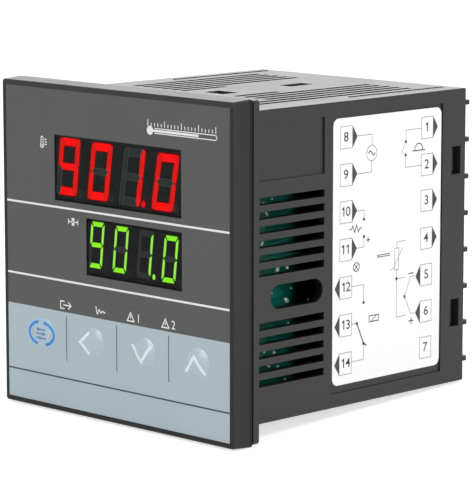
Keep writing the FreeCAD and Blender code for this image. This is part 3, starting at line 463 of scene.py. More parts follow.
paleBlueInk = printMaterial("paleBlueInk", (0.33, 0.56, 0.80))
darkInk = printMaterial("darkInk", (0.035, 0.045, 0.05))
trackInk = printMaterial("tinnedTrack", (0.05, 0.24, 0.19), 0.4)
greyInk = printMaterial("greyInk", (0.34, 0.34, 0.34))
blackInk = printMaterial("blackInk", (0.050, 0.050, 0.052))
labelPaper = paperMaterial()
boardMask = boardMaterial()
lampResin = grainedMaterial("lampResin", dict(nylon, color=(0.55, 0.03, 0.02), wornColor=(0.6, 0.1, 0.08)))

finishes = {
    "front_bezel": bezelMaterial, "case": caseMaterial, "rear_cover": stripMaterial,
    "terminal_strip_right": stripMaterial, "terminal_strip_left": stripMaterial,
    "front_overlay": overlayMaterial, "pv_window": smokedPane, "sv_window": smokedPane,
    "pv_display": pvModule, "sv_display": svModule, "indicator_leds": lampResin,
    "display_board": boardMask, "power_board": boardMask, "io_board": boardMask,
    "side_label": labelPaper, "transformer_core": ferriteMaterial, "transformer_winding": tapeMaterial,
    "input_capacitor": sleeveMaterial, "output_capacitor": sleeveMaterial,
    "output_relay": relayMaterial, "alarm_relay": relayMaterial,
    "microcontroller": resinMaterial, "board_headers": resinMaterial,
    "terminal_screws": zincMaterial, "clamp_plates": zincMaterial, "terminal_contacts": brassMaterial,
}
keyNames = ["set", "shift", "down", "up"]
for keyName in keyNames:
    finishes[f"{keyName}_key"] = keyMaterial
    finishes[f"{keyName}_plunger"] = nylonMaterial
    finishes[f"{keyName}_switch"] = resinMaterial

for nodeName, material in finishes.items():
    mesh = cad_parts[nodeName].data
    mesh.materials.clear()
    mesh.materials.append(material)
print("materials on", len(finishes), "nodes")


# Flat artwork is drawn in a plane and laid a hair above the surface that carries it

ink = 0.015


def frontPoint(across, up, height=ink):
    return Vector((across, filmFace - height, up)) * mm


def displayPoint(across, up, height=ink):
    return Vector((across, displayFace - height, up)) * mm


def sidePoint(along, up, height=ink):
    return Vector((labelFace + height, along, up)) * mm


def boardPoint(along, up, height=0.03):
    return Vector((boardFace + height, along, up)) * mm


def roundPoints(centre, radii, start, end, steps):
    # points along part of an ellipse, between two angles in degrees
    turns = [math.radians(start + (end - start) * i / steps) for i in range(steps + 1)]
    return [(centre[0] + radii[0] * math.cos(t), centre[1] + radii[1] * math.sin(t)) for t in turns]


def ridePiece(name, work, material, body):
    # the worked faces become a piece that rides on a body
    mesh = bpy.data.meshes.new(name)
    work.to_mesh(mesh)
    work.free()
    mesh.materials.append(material)
    piece = bpy.data.objects.new(name, mesh)
    bpy.context.scene.collection.objects.link(piece)
    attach(piece, body)


sharpestMitre = 0.35


class Artwork:
    def __init__(self, name, toSpace, trim=None):
        self.name = name
        self.toSpace = toSpace
        self.trim = trim
        self.work = bmesh.new()

    def patch(self, corners):
        if self.trim:
            corners = self.trim(corners)
        if not corners:
            return
        points = [self.work.verts.new(self.toSpace(a, b)) for a, b in corners]
        self.work.faces.new(points)

    def line(self, start, end, width):
        self.path([start, end], width)

    def path(self, points, width, closed=False):
        # a mitred stroke through the points
        spots = [Vector(p) for p in points]
        count = len(spots)
        left, right = [], []
        for index, spot in enumerate(spots):
            before = spots[index - 1] if index > 0 or closed else None
            after = spots[(index + 1) % count] if index < count - 1 or closed else None
            directions = []
            if before is not None:
                directions.append((spot - before).normalized())
            if after is not None:
                directions.append((after - spot).normalized())
            mean = sum(directions, Vector((0, 0))).normalized()
            normal = Vector((-mean.y, mean.x))
            cosine = max(sharpestMitre, abs(normal.dot(Vector((-directions[0].y, directions[0].x)))))
            left.append(spot + normal * width / 2 / cosine)
            right.append(spot - normal * width / 2 / cosine)
        for index in range(count if closed else count - 1):
            following = (index + 1) % count
            self.patch([left[index], right[index], right[following], left[following]])

    def disc(self, centre, radii, sides=20):
        self.patch(roundPoints(centre, radii, 0, 360, sides)[:-1])

    def arc(self, centre, radii, start, end, width, steps=24):
        self.path(roundPoints(centre, radii, start, end, steps), width)

    def figure(self, text, centre, height, squeeze=1.0, bold=0.0):
        # plain figures, centred on a point and scaled to a height
        curve = bpy.data.curves.new("figures", "FONT")
        curve.body = text
        curve.size = 1.0
        curve.offset = bold
        holder = bpy.data.objects.new("figures", curve)
        flat = bpy.data.meshes.new_from_object(holder)
        low = Vector((min(v.co.x for v in flat.vertices), min(v.co.y for v in flat.vertices)))
        high = Vector((max(v.co.x for v in flat.vertices), max(v.co.y for v in flat.vertices)))
        scale = height / (high.y - low.y)
        middle = (low + high) / 2
        corners = []
        for vertex in flat.vertices:
            across = centre[0] + (vertex.co.x - middle.x) * scale * squeeze
            up = centre[1] + (vertex.co.y - middle.y) * scale
            corners.append(self.work.verts.new(self.toSpace(across, up)))
        for polygon in flat.polygons:
            self.work.faces.new([corners[i] for i in polygon.vertices])
        bpy.data.objects.remove(holder)
        bpy.data.meshes.remove(flat)
        bpy.data.curves.remove(curve)

    def finish(self, material, body, slotName):
        # every face looks outwards
        outward = self.toSpace(0, 0, 1.0) - self.toSpace(0, 0, 0.0)
        for face in self.work.faces:
            face.normal_update()
            if face.normal.dot(outward) < 0:
                face.normal_flip()
        ridePiece(self.name, self.work, material, body)


# Seven-segment digits, as bars on the display modules

redDigits = {
    "lit": ("abcdfg", "abcdef", "bc", "abcdef"), "litDot": 2, "firstMiddle": -14.65, "pitch": 10.0,
    "width": 6.5, "height": 12.35, "heightStep": -0.12, "foot": 11.98, "footStep": -0.13,
    "slant": 0.12, "slantStep": 0.02, "flatBar": 1.66, "middleBar": 1.4, "tallBar": 1.38, "gap": 0.05,
    "corner": 0.85, "flatInset": 0.95, "shoulder": 1.0,
    "apex": 0.48, "outerRise": 0.1, "innerRise": 0.45,
    "dot": (0.66, 0.7), "dotRing": 0.8, "dotAcross": 0.95, "dotUp": 0.66, "glow": 0.3, "rim": 0.11,
}
greenDigits = {
    "lit": ("abcdfg", "abcdef", "bc", "abcdef"), "litDot": 2, "firstMiddle": -5.9, "pitch": 7.52,
    "width": 4.2, "height": 10.0, "heightStep": -0.03, "foot": -2.88, "footStep": -0.15,
    "slant": 0.11, "slantStep": 0.004, "flatBar": 1.02, "middleBar": 1.02, "tallBar": 0.7, "gap": 0.15,
    "corner": 0.0, "cut": (0.12, 0.15), "flatInset": 0.3, "tallInset": 0.5, "shoulder": 0.98,
    "apex": 0.3, "outerRise": 0.12, "innerRise": 0.5,
    "dot": (0.46, 0.62), "dotRing": 0.8, "dotAcross": 1.08, "dotUp": 0.5, "glow": 0.26, "rim": 0.08,
}


def digitBars(style, height):
    # outlines of the seven bars of one digit, about its middle, before it leans
    halfWide, halfTall = style["width"] / 2, height / 2
    gap, corner, inset = style["gap"], style["corner"], style["flatInset"]
    innerWide, innerTall = halfWide - style["tallBar"], halfTall - style["flatBar"]
    apex = halfWide - style["apex"] * style["tallBar"]
    rise = style["middleBar"] / 2
    shoulder = halfTall - style["shoulder"]
    top = [(inset - halfWide, halfTall), (halfWide - inset, halfTall), (innerWide - gap, shoulder),
           (innerWide - gap, innerTall), (gap - innerWide, innerTall), (gap - innerWide, shoulder)]
    middle = [(gap - apex, 0), (gap - innerWide, rise), (innerWide - gap, rise),
              (apex - gap, 0), (innerWide - gap, -rise), (gap - innerWide, -rise)]
    if corner:
        # a rounded outer corner, from the flat bar round to the side
        bend = roundPoints((halfWide - corner, halfTall - corner), (corner, corner), 90, 0, 6)
        start = halfWide - inset + gap
        upper = [(innerWide, shoulder), (start, halfTall)] + [spot for spot in bend if spot[0] > start]
    else:
        outer = halfTall - style["tallInset"]
        cutWide, cutTall = style["cut"]
        upper = [(innerWide, innerTall - gap), (halfWide - cutWide, outer), (halfWide, outer - cutTall)]
    upper += [(halfWide, gap + style["outerRise"]), (apex, gap),
              (innerWide, gap + style["innerRise"] * style["middleBar"])]

    def turned(outline, acrossWay, upWay):
        return [(a * acrossWay, b * upWay) for a, b in outline]

    return {"a": top, "d": turned(top, 1, -1), "g": middle, "b": upper,
            "c": turned(upper, 1, -1), "f": turned(upper, -1, 1), "e": turned(upper, -1, -1)}


def grown(outline, amount):
    # the outline pushed outwards from its own middle
    middle = sum((Vector(p) for p in outline), Vector((0, 0))) / len(outline)
    pushed = []
    for point in outline:
        away = Vector(point) - middle
        pushed.append((point[0] + math.copysign(amount, away.x), point[1] + math.copysign(amount, away.y)))
    return pushed


def makeDigits(prefix, style, flatGlow, tallGlow, haloGlow):
    coats = {"Halo": (0.006, haloGlow), "UnlitBars": (0.012, offBar), "UnlitRims": (0.016, offRim),
             "TallBars": (0.022, tallGlow), "FlatBars": (0.024, flatGlow)}
    arts = {name: Artwork(prefix + name, lambda a, b, h=height: displayPoint(a, b, h))
            for name, (height, _) in coats.items()}
    for place, lit in enumerate(style["lit"]):
        height = style["height"] + place * style["heightStep"]
        slant = style["slant"] + place * style["slantStep"]
        across = style["firstMiddle"] + place * style["pitch"]
        up = style["foot"] + place * style["footStep"] + height / 2

        def leaned(point):
            return (across + point[0] + slant * point[1], up + point[1])

        for name, outline in digitBars(style, height).items():
            shape = [leaned(p) for p in outline]
            if name in lit:
                arts["FlatBars" if name in "adg" else "TallBars"].patch(shape)
                # a painted glow, a little larger than the bar, round each lit bar
                arts["Halo"].patch([leaned(p) for p in grown(outline, style["glow"])])
            else:
                arts["UnlitBars"].patch(shape)
                arts["UnlitRims"].path(shape, style["rim"], closed=True)
        spot = leaned((style["width"] / 2 + style["dotAcross"], style["dotUp"] - height / 2))
        if place == style["litDot"]:
            arts["TallBars"].disc(spot, style["dot"])
            arts["Halo"].disc(spot, [radius + style["glow"] for radius in style["dot"]])
        else:
            radii = [radius * style["dotRing"] for radius in style["dot"]]
            arts["UnlitRims"].arc(spot, radii, 0, 360, style["rim"], 20)
    for name, (_, material) in coats.items():
        arts[name].finish(material, "housing", "display_face")


makeDigits("pv", redDigits, redFlat, redTall, redHalo)
makeDigits("sv", greenDigits, greenFlat, greenTall, greenHalo)
print("digits done")


# Printing on the front film

filmPrint = {
    "whiteLines": (9.13, -6.77), "lineWidth": 0.45, "lineReach": 34.5, "thinLine": -28.2, "thinWidth": 0.34,
    "separators": (-15.35, 0.6, 16.55), "separatorTop": -14.4, "separatorFoot": -24.3, "separatorWidth": 0.22,
}
reach = filmPrint["lineReach"]
whitePrint = Artwork("filmWhitePrint", frontPoint)
for level in filmPrint["whiteLines"]:
    whitePrint.line((-reach, level), (reach, level), filmPrint["lineWidth"])

# a thermometer lying along a graduated scale at the top right
scale = {
    "left": 10.6, "right": 30.6, "foot": 29.0,
    "ticks": 21, "tick": 0.75, "fifthTick": 1.35, "tickWidth": 0.22,
    "tubeUp": 28.15, "tubeHalf": 0.5, "tubeWidth": 0.2, "tubeStart": 2.0, "tubeNose": 0.4,
    "bulb": 0.95, "bulbAcross": 0.6, "columnStart": 1.5, "columnShort": 5.0, "columnWidth": 0.5,
}
left, right, foot, tube = scale["left"], scale["right"], scale["foot"], scale["tubeUp"]
for tick in range(scale["ticks"]):
    across = left + tick * (right - left) / (scale["ticks"] - 1)
    tall = scale["tick"] if tick % 5 else scale["fifthTick"]
    whitePrint.line((across, foot), (across, foot + tall), scale["tickWidth"])
whitePrint.disc((left + scale["bulbAcross"], tube), (scale["bulb"], scale["bulb"]), 24)
whitePrint.line((left + scale["columnStart"], tube), (right - scale["columnShort"], tube),
                scale["columnWidth"])
upper, lower = tube + scale["tubeHalf"], tube - scale["tubeHalf"]
whitePrint.path([(left + scale["tubeStart"], upper), (right, upper), (right + scale["tubeNose"], tube),
                 (right, lower), (left + scale["tubeStart"], lower)], scale["tubeWidth"])

# measured value: an upright thermometer
upright = {
    "across": -22.7, "bulbUp": 22.2, "bulb": 0.52, "drop": 0.24,
    "neck": 0.32, "neckFoot": 22.6, "neckTop": 23.75,
    "marks": (22.4, 22.95, 23.5), "markFrom": -21.85, "markTo": -21.2, "stroke": 0.24,
}
middle, stroke = upright["across"], upright["stroke"]
whitePrint.arc((middle, upright["bulbUp"]), (upright["bulb"], upright["bulb"]), 130, 410, stroke, 18)
for across in (middle - upright["neck"], middle + upright["neck"]):
    whitePrint.line((across, upright["neckFoot"]), (across, upright["neckTop"]), stroke)
whitePrint.arc((middle, upright["neckTop"]), (upright["neck"], upright["neck"]), 0, 180, stroke, 10)
whitePrint.disc((middle, upright["bulbUp"]), (upright["drop"], upright["drop"]), 12)
for up in upright["marks"]:
    whitePrint.line((upright["markFrom"], up), (upright["markTo"], up), stroke)

# set value: a slider on its track
slider = {
    "left": -14.4, "right": -11.4, "up": 6.4, "stopHalf": 0.55, "stopWidth": 0.26, "trackWidth": 0.28,
    "knobLeft": -13.35, "knobRight": -12.5, "knobFoot": 5.6, "knobTop": 7.25,
}
whitePrint.line((slider["left"], slider["up"]), (slider["right"], slider["up"]), slider["trackWidth"])
whitePrint.patch([(slider["knobLeft"], slider["knobFoot"]), (slider["knobRight"], slider["knobFoot"]),
                  (slider["knobRight"], slider["knobTop"]), (slider["knobLeft"], slider["knobTop"])])
for across in (slider["left"], slider["right"]):
    whitePrint.line((across, slider["up"] - slider["stopHalf"]), (across, slider["up"] + slider["stopHalf"]),
                    slider["stopWidth"])

# lamp signs: output arrow, settling wave and two numbered alarm triangles, each about its own place
legend = {
    "places": ((-15.3, -12.05), (-4.4, -12.05), (6.3, -12.0), (16.9, -12.0)), "stroke": 0.27,
    "bracket": ((-0.6, 0.8), (-1.9, 0.8), (-1.9, -0.8), (-0.6, -0.8)), "shaft": ((-1.0, 0), (1.2, 0)),
    "head": ((0.6, 0.75), (1.5, 0), (0.6, -0.75)), "waveLong": 3.0, "waveTall": 0.95, "waveTurns": 2.75,
    "waveSteps": 40, "waveDecay": 16, "triangle": ((-2.35, -0.85), (-0.25, -0.85), (-1.3, 0.95)),
    "bang": ((-1.3, -0.35), (-1.3, 0.25)), "bangWidth": 0.22, "figureAcross": 1.1, "figure": 1.8,
}


def moved(outline, place):
    return [(place[0] + a, place[1] + b) for a, b in outline]


for sign in ("bracket", "shaft", "head"):
    whitePrint.path(moved(legend[sign], legend["places"][0]), legend["stroke"])
steps, turning = legend["waveSteps"], 2 * math.pi * legend["waveTurns"]
wave = [(legend["waveLong"] * (i / steps - 0.5),
         legend["waveTall"] * math.exp(-i / legend["waveDecay"]) * math.cos(turning * i / steps))
        for i in range(steps + 1)]
whitePrint.path(moved(wave, legend["places"][1]), legend["stroke"])
for number, place in enumerate(legend["places"][2:], start=1):
    whitePrint.path(moved(legend["triangle"], place), legend["stroke"], closed=True)
    whitePrint.path(moved(legend["bang"], place), legend["bangWidth"])
    whitePrint.figure(str(number), (place[0] + legend["figureAcross"], place[1]), legend["figure"])
whitePrint.finish(whiteInk, "housing", "printed_film")

darkPrint = Artwork("filmDarkPrint", frontPoint)
darkPrint.line((-reach, filmPrint["thinLine"]), (reach, filmPrint["thinLine"]), filmPrint["thinWidth"])
for across in filmPrint["separators"]:
    darkPrint.line((across, filmPrint["separatorTop"]), (across, filmPrint["separatorFoot"]),
                   filmPrint["separatorWidth"])
darkPrint.finish(darkInk, "housing", "printed_film")
print("film print done")


# The film's own edge round each key closes the slit beside it

domes = {"firstAcross": -22.65, "pitch": 16.0, "up": -18.95, "edge": 3.2, "height": 0.35, "rim": 3.28}
surround = {"inner": 3.298, "outer": 3.385, "sides": 96, "depth": 0.1}


def makeSurrounds():
    work = bmesh.new()
    for index in range(len(keyNames)):
        centre = (domes["firstAcross"] + index * domes["pitch"], domes["up"])
        rings = []
        for radius, back in ((surround["inner"], 0.0), (surround["outer"], 0.0),
                             (surround["outer"], surround["depth"]), (surround["inner"], surround["depth"])):
            spots = roundPoints(centre, (radius, radius), 0, 360, surround["sides"])[:-1]
            rings.append([work.verts.new(frontPoint(across, up, -back)) for across, up in spots])
        for ring, following in zip(rings, rings[1:] + rings[:1]):
            for side in range(surround["sides"]):
                nextSide = (side + 1) % surround["sides"]
                work.faces.new([ring[side], ring[nextSide], following[nextSide], following[side]])
    bmesh.ops.recalc_face_normals(work, faces=work.faces)
    ridePiece("keySurrounds", work, overlayMaterial, "housing")


makeSurrounds()


# Symbols printed over the keys: each lies on the dome and runs on over the flat film

symbols = {
    "fineStep": 0.12,  # the length of a stroke's pieces
    "cornerClear": 0.7,  # no fine point lies nearer to a corner than this share of the width
    "chevronWidth": 0.74, "ringCentre": (-23.5, -19.3), "ringRadii": (4.0, 2.55), "ringWidth": 0.66,
    "ringSteps": 30, "glowAway": 0.53, "glowWidth": 0.4, "glowLift": 0.008,
    "arrowLeft": -25.2, "arrowRight": -21.9, "arrowWidth": 0.34, "tickWidth": 0.5, "tickLong": 0.8,
    # each arrow: its height, then where its tick is and where the tick's top is
    "arrows": ((-18.4, -24.3, -18.0), (-19.35, -22.7, -18.95), (-20.3, -23.9, -19.9)),
}


def domeHeight(across, up, centre):
    # height of the key above the film's face at a point
    distance = math.hypot(across - centre, up - domes["up"])
    if distance > domes["edge"]:
        return 0.0
    ball = (domes["edge"] ** 2 + domes["height"] ** 2) / (2 * domes["height"])
    return math.sqrt(ball ** 2 - distance ** 2) - (ball - domes["height"])


def finePoints(points, width):
    # points close enough to follow the dome, with none so near a corner that the stroke folds over itself
    fine = []
    for start, end in zip(points, points[1:]):
        pieces = max(1, int(math.dist(start, end) / symbols["fineStep"]))
        corners = [corner for corner in points[1:-1] if corner in (start, end)]
        for i in range(pieces):
            t = i / pieces
            spot = (start[0] + (end[0] - start[0]) * t, start[1] + (end[1] - start[1]) * t)
            if i == 0 or all(math.dist(spot, corner) > symbols["cornerClear"] * width for corner in corners):
                fine.append(spot)
    return fine + [points[-1]]


def keySymbols(name, strokes, material, coat="", lift=ink):
    # each stroke is cut at the slit round the key, and what lies on the key rides with it
    centre = domes["firstAcross"] + keyNames.index(name) * domes["pitch"]
    for part, clamp, body, slotName in (("Key", min, f"{name}_button", "key_film"),
                                        ("Film", max, "housing", "printed_film")):

        def trim(corners):
            sizes = [math.hypot(a - centre, b - domes["up"]) for a, b in corners]
            if all(clamp(size, domes["rim"]) == domes["rim"] for size in sizes):
                return None
            shares = [clamp(size, domes["rim"]) / size for size in sizes]
            return [(centre + (a - centre) * share, domes["up"] + (b - domes["up"]) * share)
                    for (a, b), share in zip(corners, shares)]

        art = Artwork(f"{name}{part}Symbol{coat}",
                      lambda a, b, h=lift: frontPoint(a, b, h + domeHeight(a, b, centre)), trim)
        for points, width in strokes:
            art.path(finePoints(points, width), width)
        if len(art.work.faces):
            art.finish(material, body, slotName)
        else:
            art.work.free()


def setRing(away, start, end):
    radii = [radius + away for radius in symbols["ringRadii"]]
    return roundPoints(symbols["ringCentre"], radii, start, end, symbols["ringSteps"])


strokes = [(setRing(0, start, end), symbols["ringWidth"]) for start, end in ((-70, 78), (102, 250))]
strokes += [([(symbols["arrowLeft"], up), (symbols["arrowRight"], up)], symbols["arrowWidth"])
            for up, _, _ in symbols["arrows"]]
strokes += [([(across, top), (across, top - symbols["tickLong"])], symbols["tickWidth"])
            for _, across, top in symbols["arrows"]]
keySymbols("set", strokes, blueInk)
# the pale glow is two strips, inside and outside the ring
strokes = [(setRing(away * symbols["glowAway"], -78, 258), symbols["glowWidth"]) for away in (-1, 1)]
keySymbols("set", strokes, paleBlueInk, "Glow", symbols["glowLift"])
chevrons = {
    "shift": [(-7.95, -17.05), (-11.0, -19.5), (-7.95, -21.8)],
    "down": [(5.4, -17.7), (8.25, -21.2), (11.4, -17.4)],
    "up": [(21.65, -21.3), (24.35, -17.8), (27.55, -21.3)],
}
for name, chevron in chevrons.items():
    keySymbols(name, [(chevron, symbols["chevronWidth"])], coolInk)
print("key symbols done")


# Printing on the side label: a wiring diagram in boxes, lines and symbols

wiring = {
    "leftColumn": 30.87, "rightColumn": 56.9, "boxWide": 3.82, "boxTall": 4.72, "tip": 1.55,
    "firstUp": 25.12, "pitch": 8.14, "thin": 0.18, "thick": 0.3, "knot": 0.36,
    "lift": {"leftColumn": (0, 0.1, 0.28, 0.28, 0.26, 0.2, 0), "rightColumn": (0, 0, 0.2, 0, 0, 0, 0)},
    "figure": 2.05, "squeeze": 1.1, "bold": 0.008, "advance": 1.45, "figureUp": 0.15, "figureAside": 0.1,
    "one": ((-0.42, 0.6), (0.12, 1.0)), "oneWidth": 0.34,
}

greyPrint = Artwork("labelGreyPrint", sidePoint)
blackPrint = Artwork("labelBlackPrint", sidePoint)


def terminalBox(number, column, row, pointing):
    across = wiring[column]
    up = wiring["firstUp"] - row * wiring["pitch"] + wiring["lift"][column][row]
    halfWide, halfTall = wiring["boxWide"] / 2, wiring["boxTall"] / 2
    corners = [(across - halfWide, up - halfTall), (across + halfWide, up - halfTall),
               (across + halfWide, up + halfTall), (across - halfWide, up + halfTall)]
    greyPrint.path(corners, wiring["thin"], closed=True)
    if pointing:
        edge = across + pointing * halfWide
        tip = edge + pointing * wiring["tip"]
        blackPrint.patch([(edge, up - halfTall), (tip, up), (edge, up + halfTall)])
    text, tall = str(number), wiring["figure"]
    figureUp = up + wiring["figureUp"]
    for place, sign in enumerate(text):
        middle = across - pointing * wiring["figureAside"] + (place - (len(text) - 1) / 2) * wiring["advance"]
        if sign == "1":
            # a flag and a stem, so that it reads at this size
            blackPrint.path(moved(wiring["one"], (middle, up)), wiring["oneWidth"])
            stem = middle + wiring["one"][1][0]
            blackPrint.line((stem, figureUp + tall / 2), (stem, figureUp - tall / 2), wiring["oneWidth"])
        else:
            blackPrint.figure(sign, (middle, figureUp), tall, wiring["squeeze"], wiring["bold"])


for row in range(7):
    terminalBox(8 + row, "leftColumn", row, 1 if row < 4 else -1)
    terminalBox(1 + row, "rightColumn", row, {4: -1, 5: -1, 6: 0}.get(row, 1))

thinRuns = [
    [(34.4, 25.15), (38.93, 25.15), (38.93, 22.75)],
    [(34.4, 17.0), (38.88, 17.0), (38.88, 19.4)],
    [(55.0, 25.12), (49.88, 25.12), (49.85, 22.6), (48.35, 20.0)],
    [(49.8, 19.7), (49.8, 17.0), (55.0, 17.0)],
    [(34.3, 8.98), (36.6, 8.98), (36.55, 7.1)],
    [(34.3, 0.97), (36.55, 0.97), (36.57, 3.2)],
    [(32.75, -7.2), (36.6, -7.2), (36.58, -11.0)],
    [(32.75, -15.4), (34.5, -15.45)],
    [(36.65, -20.1), (36.66, -23.6), (32.8, -23.6)],
    [(50.1, 0.92), (47.17, 0.92), (47.17, -0.45)],
    [(49.1, -0.55), (46.15, -4.8), (45.2, -5.05)],
    [(47.2, -5.2), (47.17, -7.2), (50.0, -7.2)],
    [(47.17, -7.2), (47.2, -15.7), (50.6, -15.7)],
    [(53.25, -7.25), (51.8, -7.25), (49.88, -11.45), (51.9, -15.5), (53.25, -15.5)],
]
for run in thinRuns:
    greyPrint.path(run, wiring["thin"])
for spot in ((49.85, 22.6), (49.8, 19.72), (36.55, 7.0), (36.57, 3.25), (36.58, -11.1), (34.5, -15.45),
             (36.65, -20.1), (47.17, -7.2), (49.88, -11.45)):
    blackPrint.disc(spot, (wiring["knot"], wiring["knot"]), 16)
blackPrint.path([(34.5, -15.45), (36.65, -20.0), (37.6, -20.7)], wiring["thick"])


def uprightBox(left, right, low, high):
    return [(left, high), (right, high), (right, low), (left, low)]


# supply: a wave in a ring
supply = {"centre": (38.9, 21.1), "radius": 1.65, "ringWidth": 0.2, "long": 2.1, "tall": 0.5, "width": 0.26}
greyPrint.arc(supply["centre"], (supply["radius"], supply["radius"]), 0, 360, supply["ringWidth"], 28)
wave = [(supply["long"] * (i / 24 - 0.5), supply["tall"] * math.sin(2 * math.pi * i / 24)) for i in range(25)]
blackPrint.path(moved(wave, supply["centre"]), supply["width"])

# plus and minus signs: centre, size, and whether it is a plus
polarity = {
    "width": 0.26,
    "signs": (((37.9, 2.4), 1.1, True), ((51.95, -6.55), 1.6, False), ((52.1, -17.1), 1.6, True)),
}
for centre, size, plus in polarity["signs"]:
    blackPrint.path(moved([(-size / 2, 0), (size / 2, 0)], centre), polarity["width"])
    if plus:
        blackPrint.path(moved([(0, -size / 2), (0, size / 2)], centre), polarity["width"])

# generic marks where the diagram names its parts
marks = {
    "probe": (46.55, 47.85, -5.2, -0.45), "bar": (41.0, 44.8, -1.75, -1.35), "barWidth": 0.2,
    "relay": (38.4, 41.4, -15.6, -14.3), "relayWidth": 0.22, "relaySlash": [(39.1, -15.6), (40.7, -14.3)],
    "coil": [(31.8, 5.2), (32.6, 5.2), (33.0, 5.95), (33.6, 4.45),
             (34.2, 5.95), (34.8, 4.45), (35.2, 5.2), (36.0, 5.2)],
    "coilWidth": 0.22, "lamp": (34.2, -3.1), "lampRadius": 0.95, "lampCross": 0.65, "crossWidth": 0.2,
    "bellFoot": [(52.0, 20.35), (56.2, 20.35)],
    "bell": (54.1, 20.4), "bellRadii": (1.3, 1.5), "bellWidth": 0.24,
}
greyPrint.path(uprightBox(*marks["probe"]), wiring["thin"], closed=True)
blackPrint.path(uprightBox(*marks["bar"]), marks["barWidth"], closed=True)
blackPrint.path(uprightBox(*marks["relay"]), marks["relayWidth"], closed=True)
blackPrint.path(marks["relaySlash"], marks["barWidth"])
blackPrint.path(marks["coil"], marks["coilWidth"])
blackPrint.arc(marks["lamp"], (marks["lampRadius"], marks["lampRadius"]), 0, 360, marks["coilWidth"], 22)
for rise in (marks["lampCross"], -marks["lampCross"]):
    slash = [(-marks["lampCross"], rise), (marks["lampCross"], -rise)]
    blackPrint.path(moved(slash, marks["lamp"]), marks["crossWidth"])
blackPrint.path(marks["bellFoot"], marks["bellWidth"])
blackPrint.arc(marks["bell"], marks["bellRadii"], 0, 180, marks["bellWidth"], 16)
greyPrint.finish(greyInk, "housing", "paper_label")
blackPrint.finish(blackInk, "housing", "paper_label")
print("label print done")


# Solder joints on the outer face of the supply board

solderWork = {
    "height": 0.4, "rings": 4, "sides": 12,
    # each joint: along, up, radius, stretch, turn
    "joints": (
        (17.7, 12.3, 0.24, 1.0, 0.0), (15.0, 11.7, 0.2, 1.6, 0.5), (16.1, 9.25, 0.26, 2.3, -0.9),
        (24.3, 8.4, 0.2, 1.0, 0.0), (14.7, 3.1, 0.4, 1.6, 0.9), (19.5, -3.0, 0.55, 1.2, 0.7),
        (22.4, -2.95, 0.48, 1.0, 0.0), (23.6, -7.5, 0.22, 1.0, 0.0), (22.3, -10.0, 0.5, 1.7, -0.6),
        (28.9, -10.6, 0.22, 1.0, 0.0), (22.7, -15.0, 0.32, 1.0, 0.0), (15.3, -20.35, 0.3, 1.2, 0.4),
        (18.4, -20.8, 0.36, 1.3, -0.5), (16.8, -23.6, 0.34, 1.0, 0.0), (19.6, -24.0, 0.3, 1.2, 0.6),
        (21.8, -27.1, 0.3, 1.0, 0.0), (17.7, -7.9, 0.18, 1.0, 0.0), (17.9, -11.5, 0.2, 1.4, 0.8),
    ),
    "tracks": (
        ([(15.4, 2.3), (17.5, 2.45), (19.0, 2.75), (22.0, 3.2), (24.5, 3.3)], 0.28),
        ([(14.9, -0.75), (17.9, -0.1), (20.1, -0.5), (22.2, -0.1), (26.5, -0.1)], 0.3)),
    "pad": (14.7, 6.2), "padRadii": (0.85, 0.6), "padWidth": 0.22,
}


def solderDome(work, along, up, radius, stretch, turn):
    rings, sides, height = solderWork["rings"], solderWork["sides"], solderWork["height"]
    rows = []
    for ring in range(rings):
        angle = math.pi / 2 * ring / rings
        row = []
        for side in range(sides):
            t = 2 * math.pi * side / sides
            a = radius * math.cos(angle) * math.cos(t) * stretch
            b = radius * math.cos(angle) * math.sin(t)
            y = along + a * math.cos(turn) - b * math.sin(turn)
            z = up + a * math.sin(turn) + b * math.cos(turn)
            row.append(work.verts.new(boardPoint(y, z, height * math.sin(angle))))
        rows.append(row)
    top = work.verts.new(boardPoint(along, up, height))
    for low, high in zip(rows, rows[1:]):
        for side in range(sides):
            nextSide = (side + 1) % sides
            work.faces.new([low[side], low[nextSide], high[nextSide], high[side]])
    for side in range(sides):
        work.faces.new([rows[-1][side], rows[-1][(side + 1) % sides], top])


def makeSolder():
    work = bmesh.new()
    for joint in solderWork["joints"]:
        solderDome(work, *joint)
    bmesh.ops.recalc_face_normals(work, faces=work.faces)
    for face in work.faces:
        face.smooth = True
    ridePiece("solderJoints", work, solderMaterial, "housing")


makeSolder()

# tinned tracks and one bare pad on the same face
tracks = Artwork("boardTracks", boardPoint)
for run, width in solderWork["tracks"]:
    tracks.path(run, width)
tracks.arc(solderWork["pad"], solderWork["padRadii"], 0, 360, solderWork["padWidth"], 20)
tracks.finish(trackInk, "housing", "circuit_board")
print("solder done")


# Floor, light and camera

stage = {
    "floorSize": 6.0, "frontFoot": (-2.33, -36.02), "rearFoot": (69.43, -33.25),
    "floorShade": (0.68, 0.68, 0.68), "floorGlow": 0.62, "fill": 0.35, "seen": 1.0,
}


def seenRays(tree, place):
    # 1 for what the eye, a reflection or a pane looks at, so that the ground shows white there
    across, up = place
    paths = addNode(tree, "ShaderNodeLightPath", place)
    seen = combine(tree, (across + 200, up), "MAXIMUM", (paths, "Is Camera Ray"), (paths, "Is Glossy Ray"))
    return combine(tree, (across + 400, up), "MAXIMUM", (seen, "Value"), (paths, "Is Transmission Ray"))


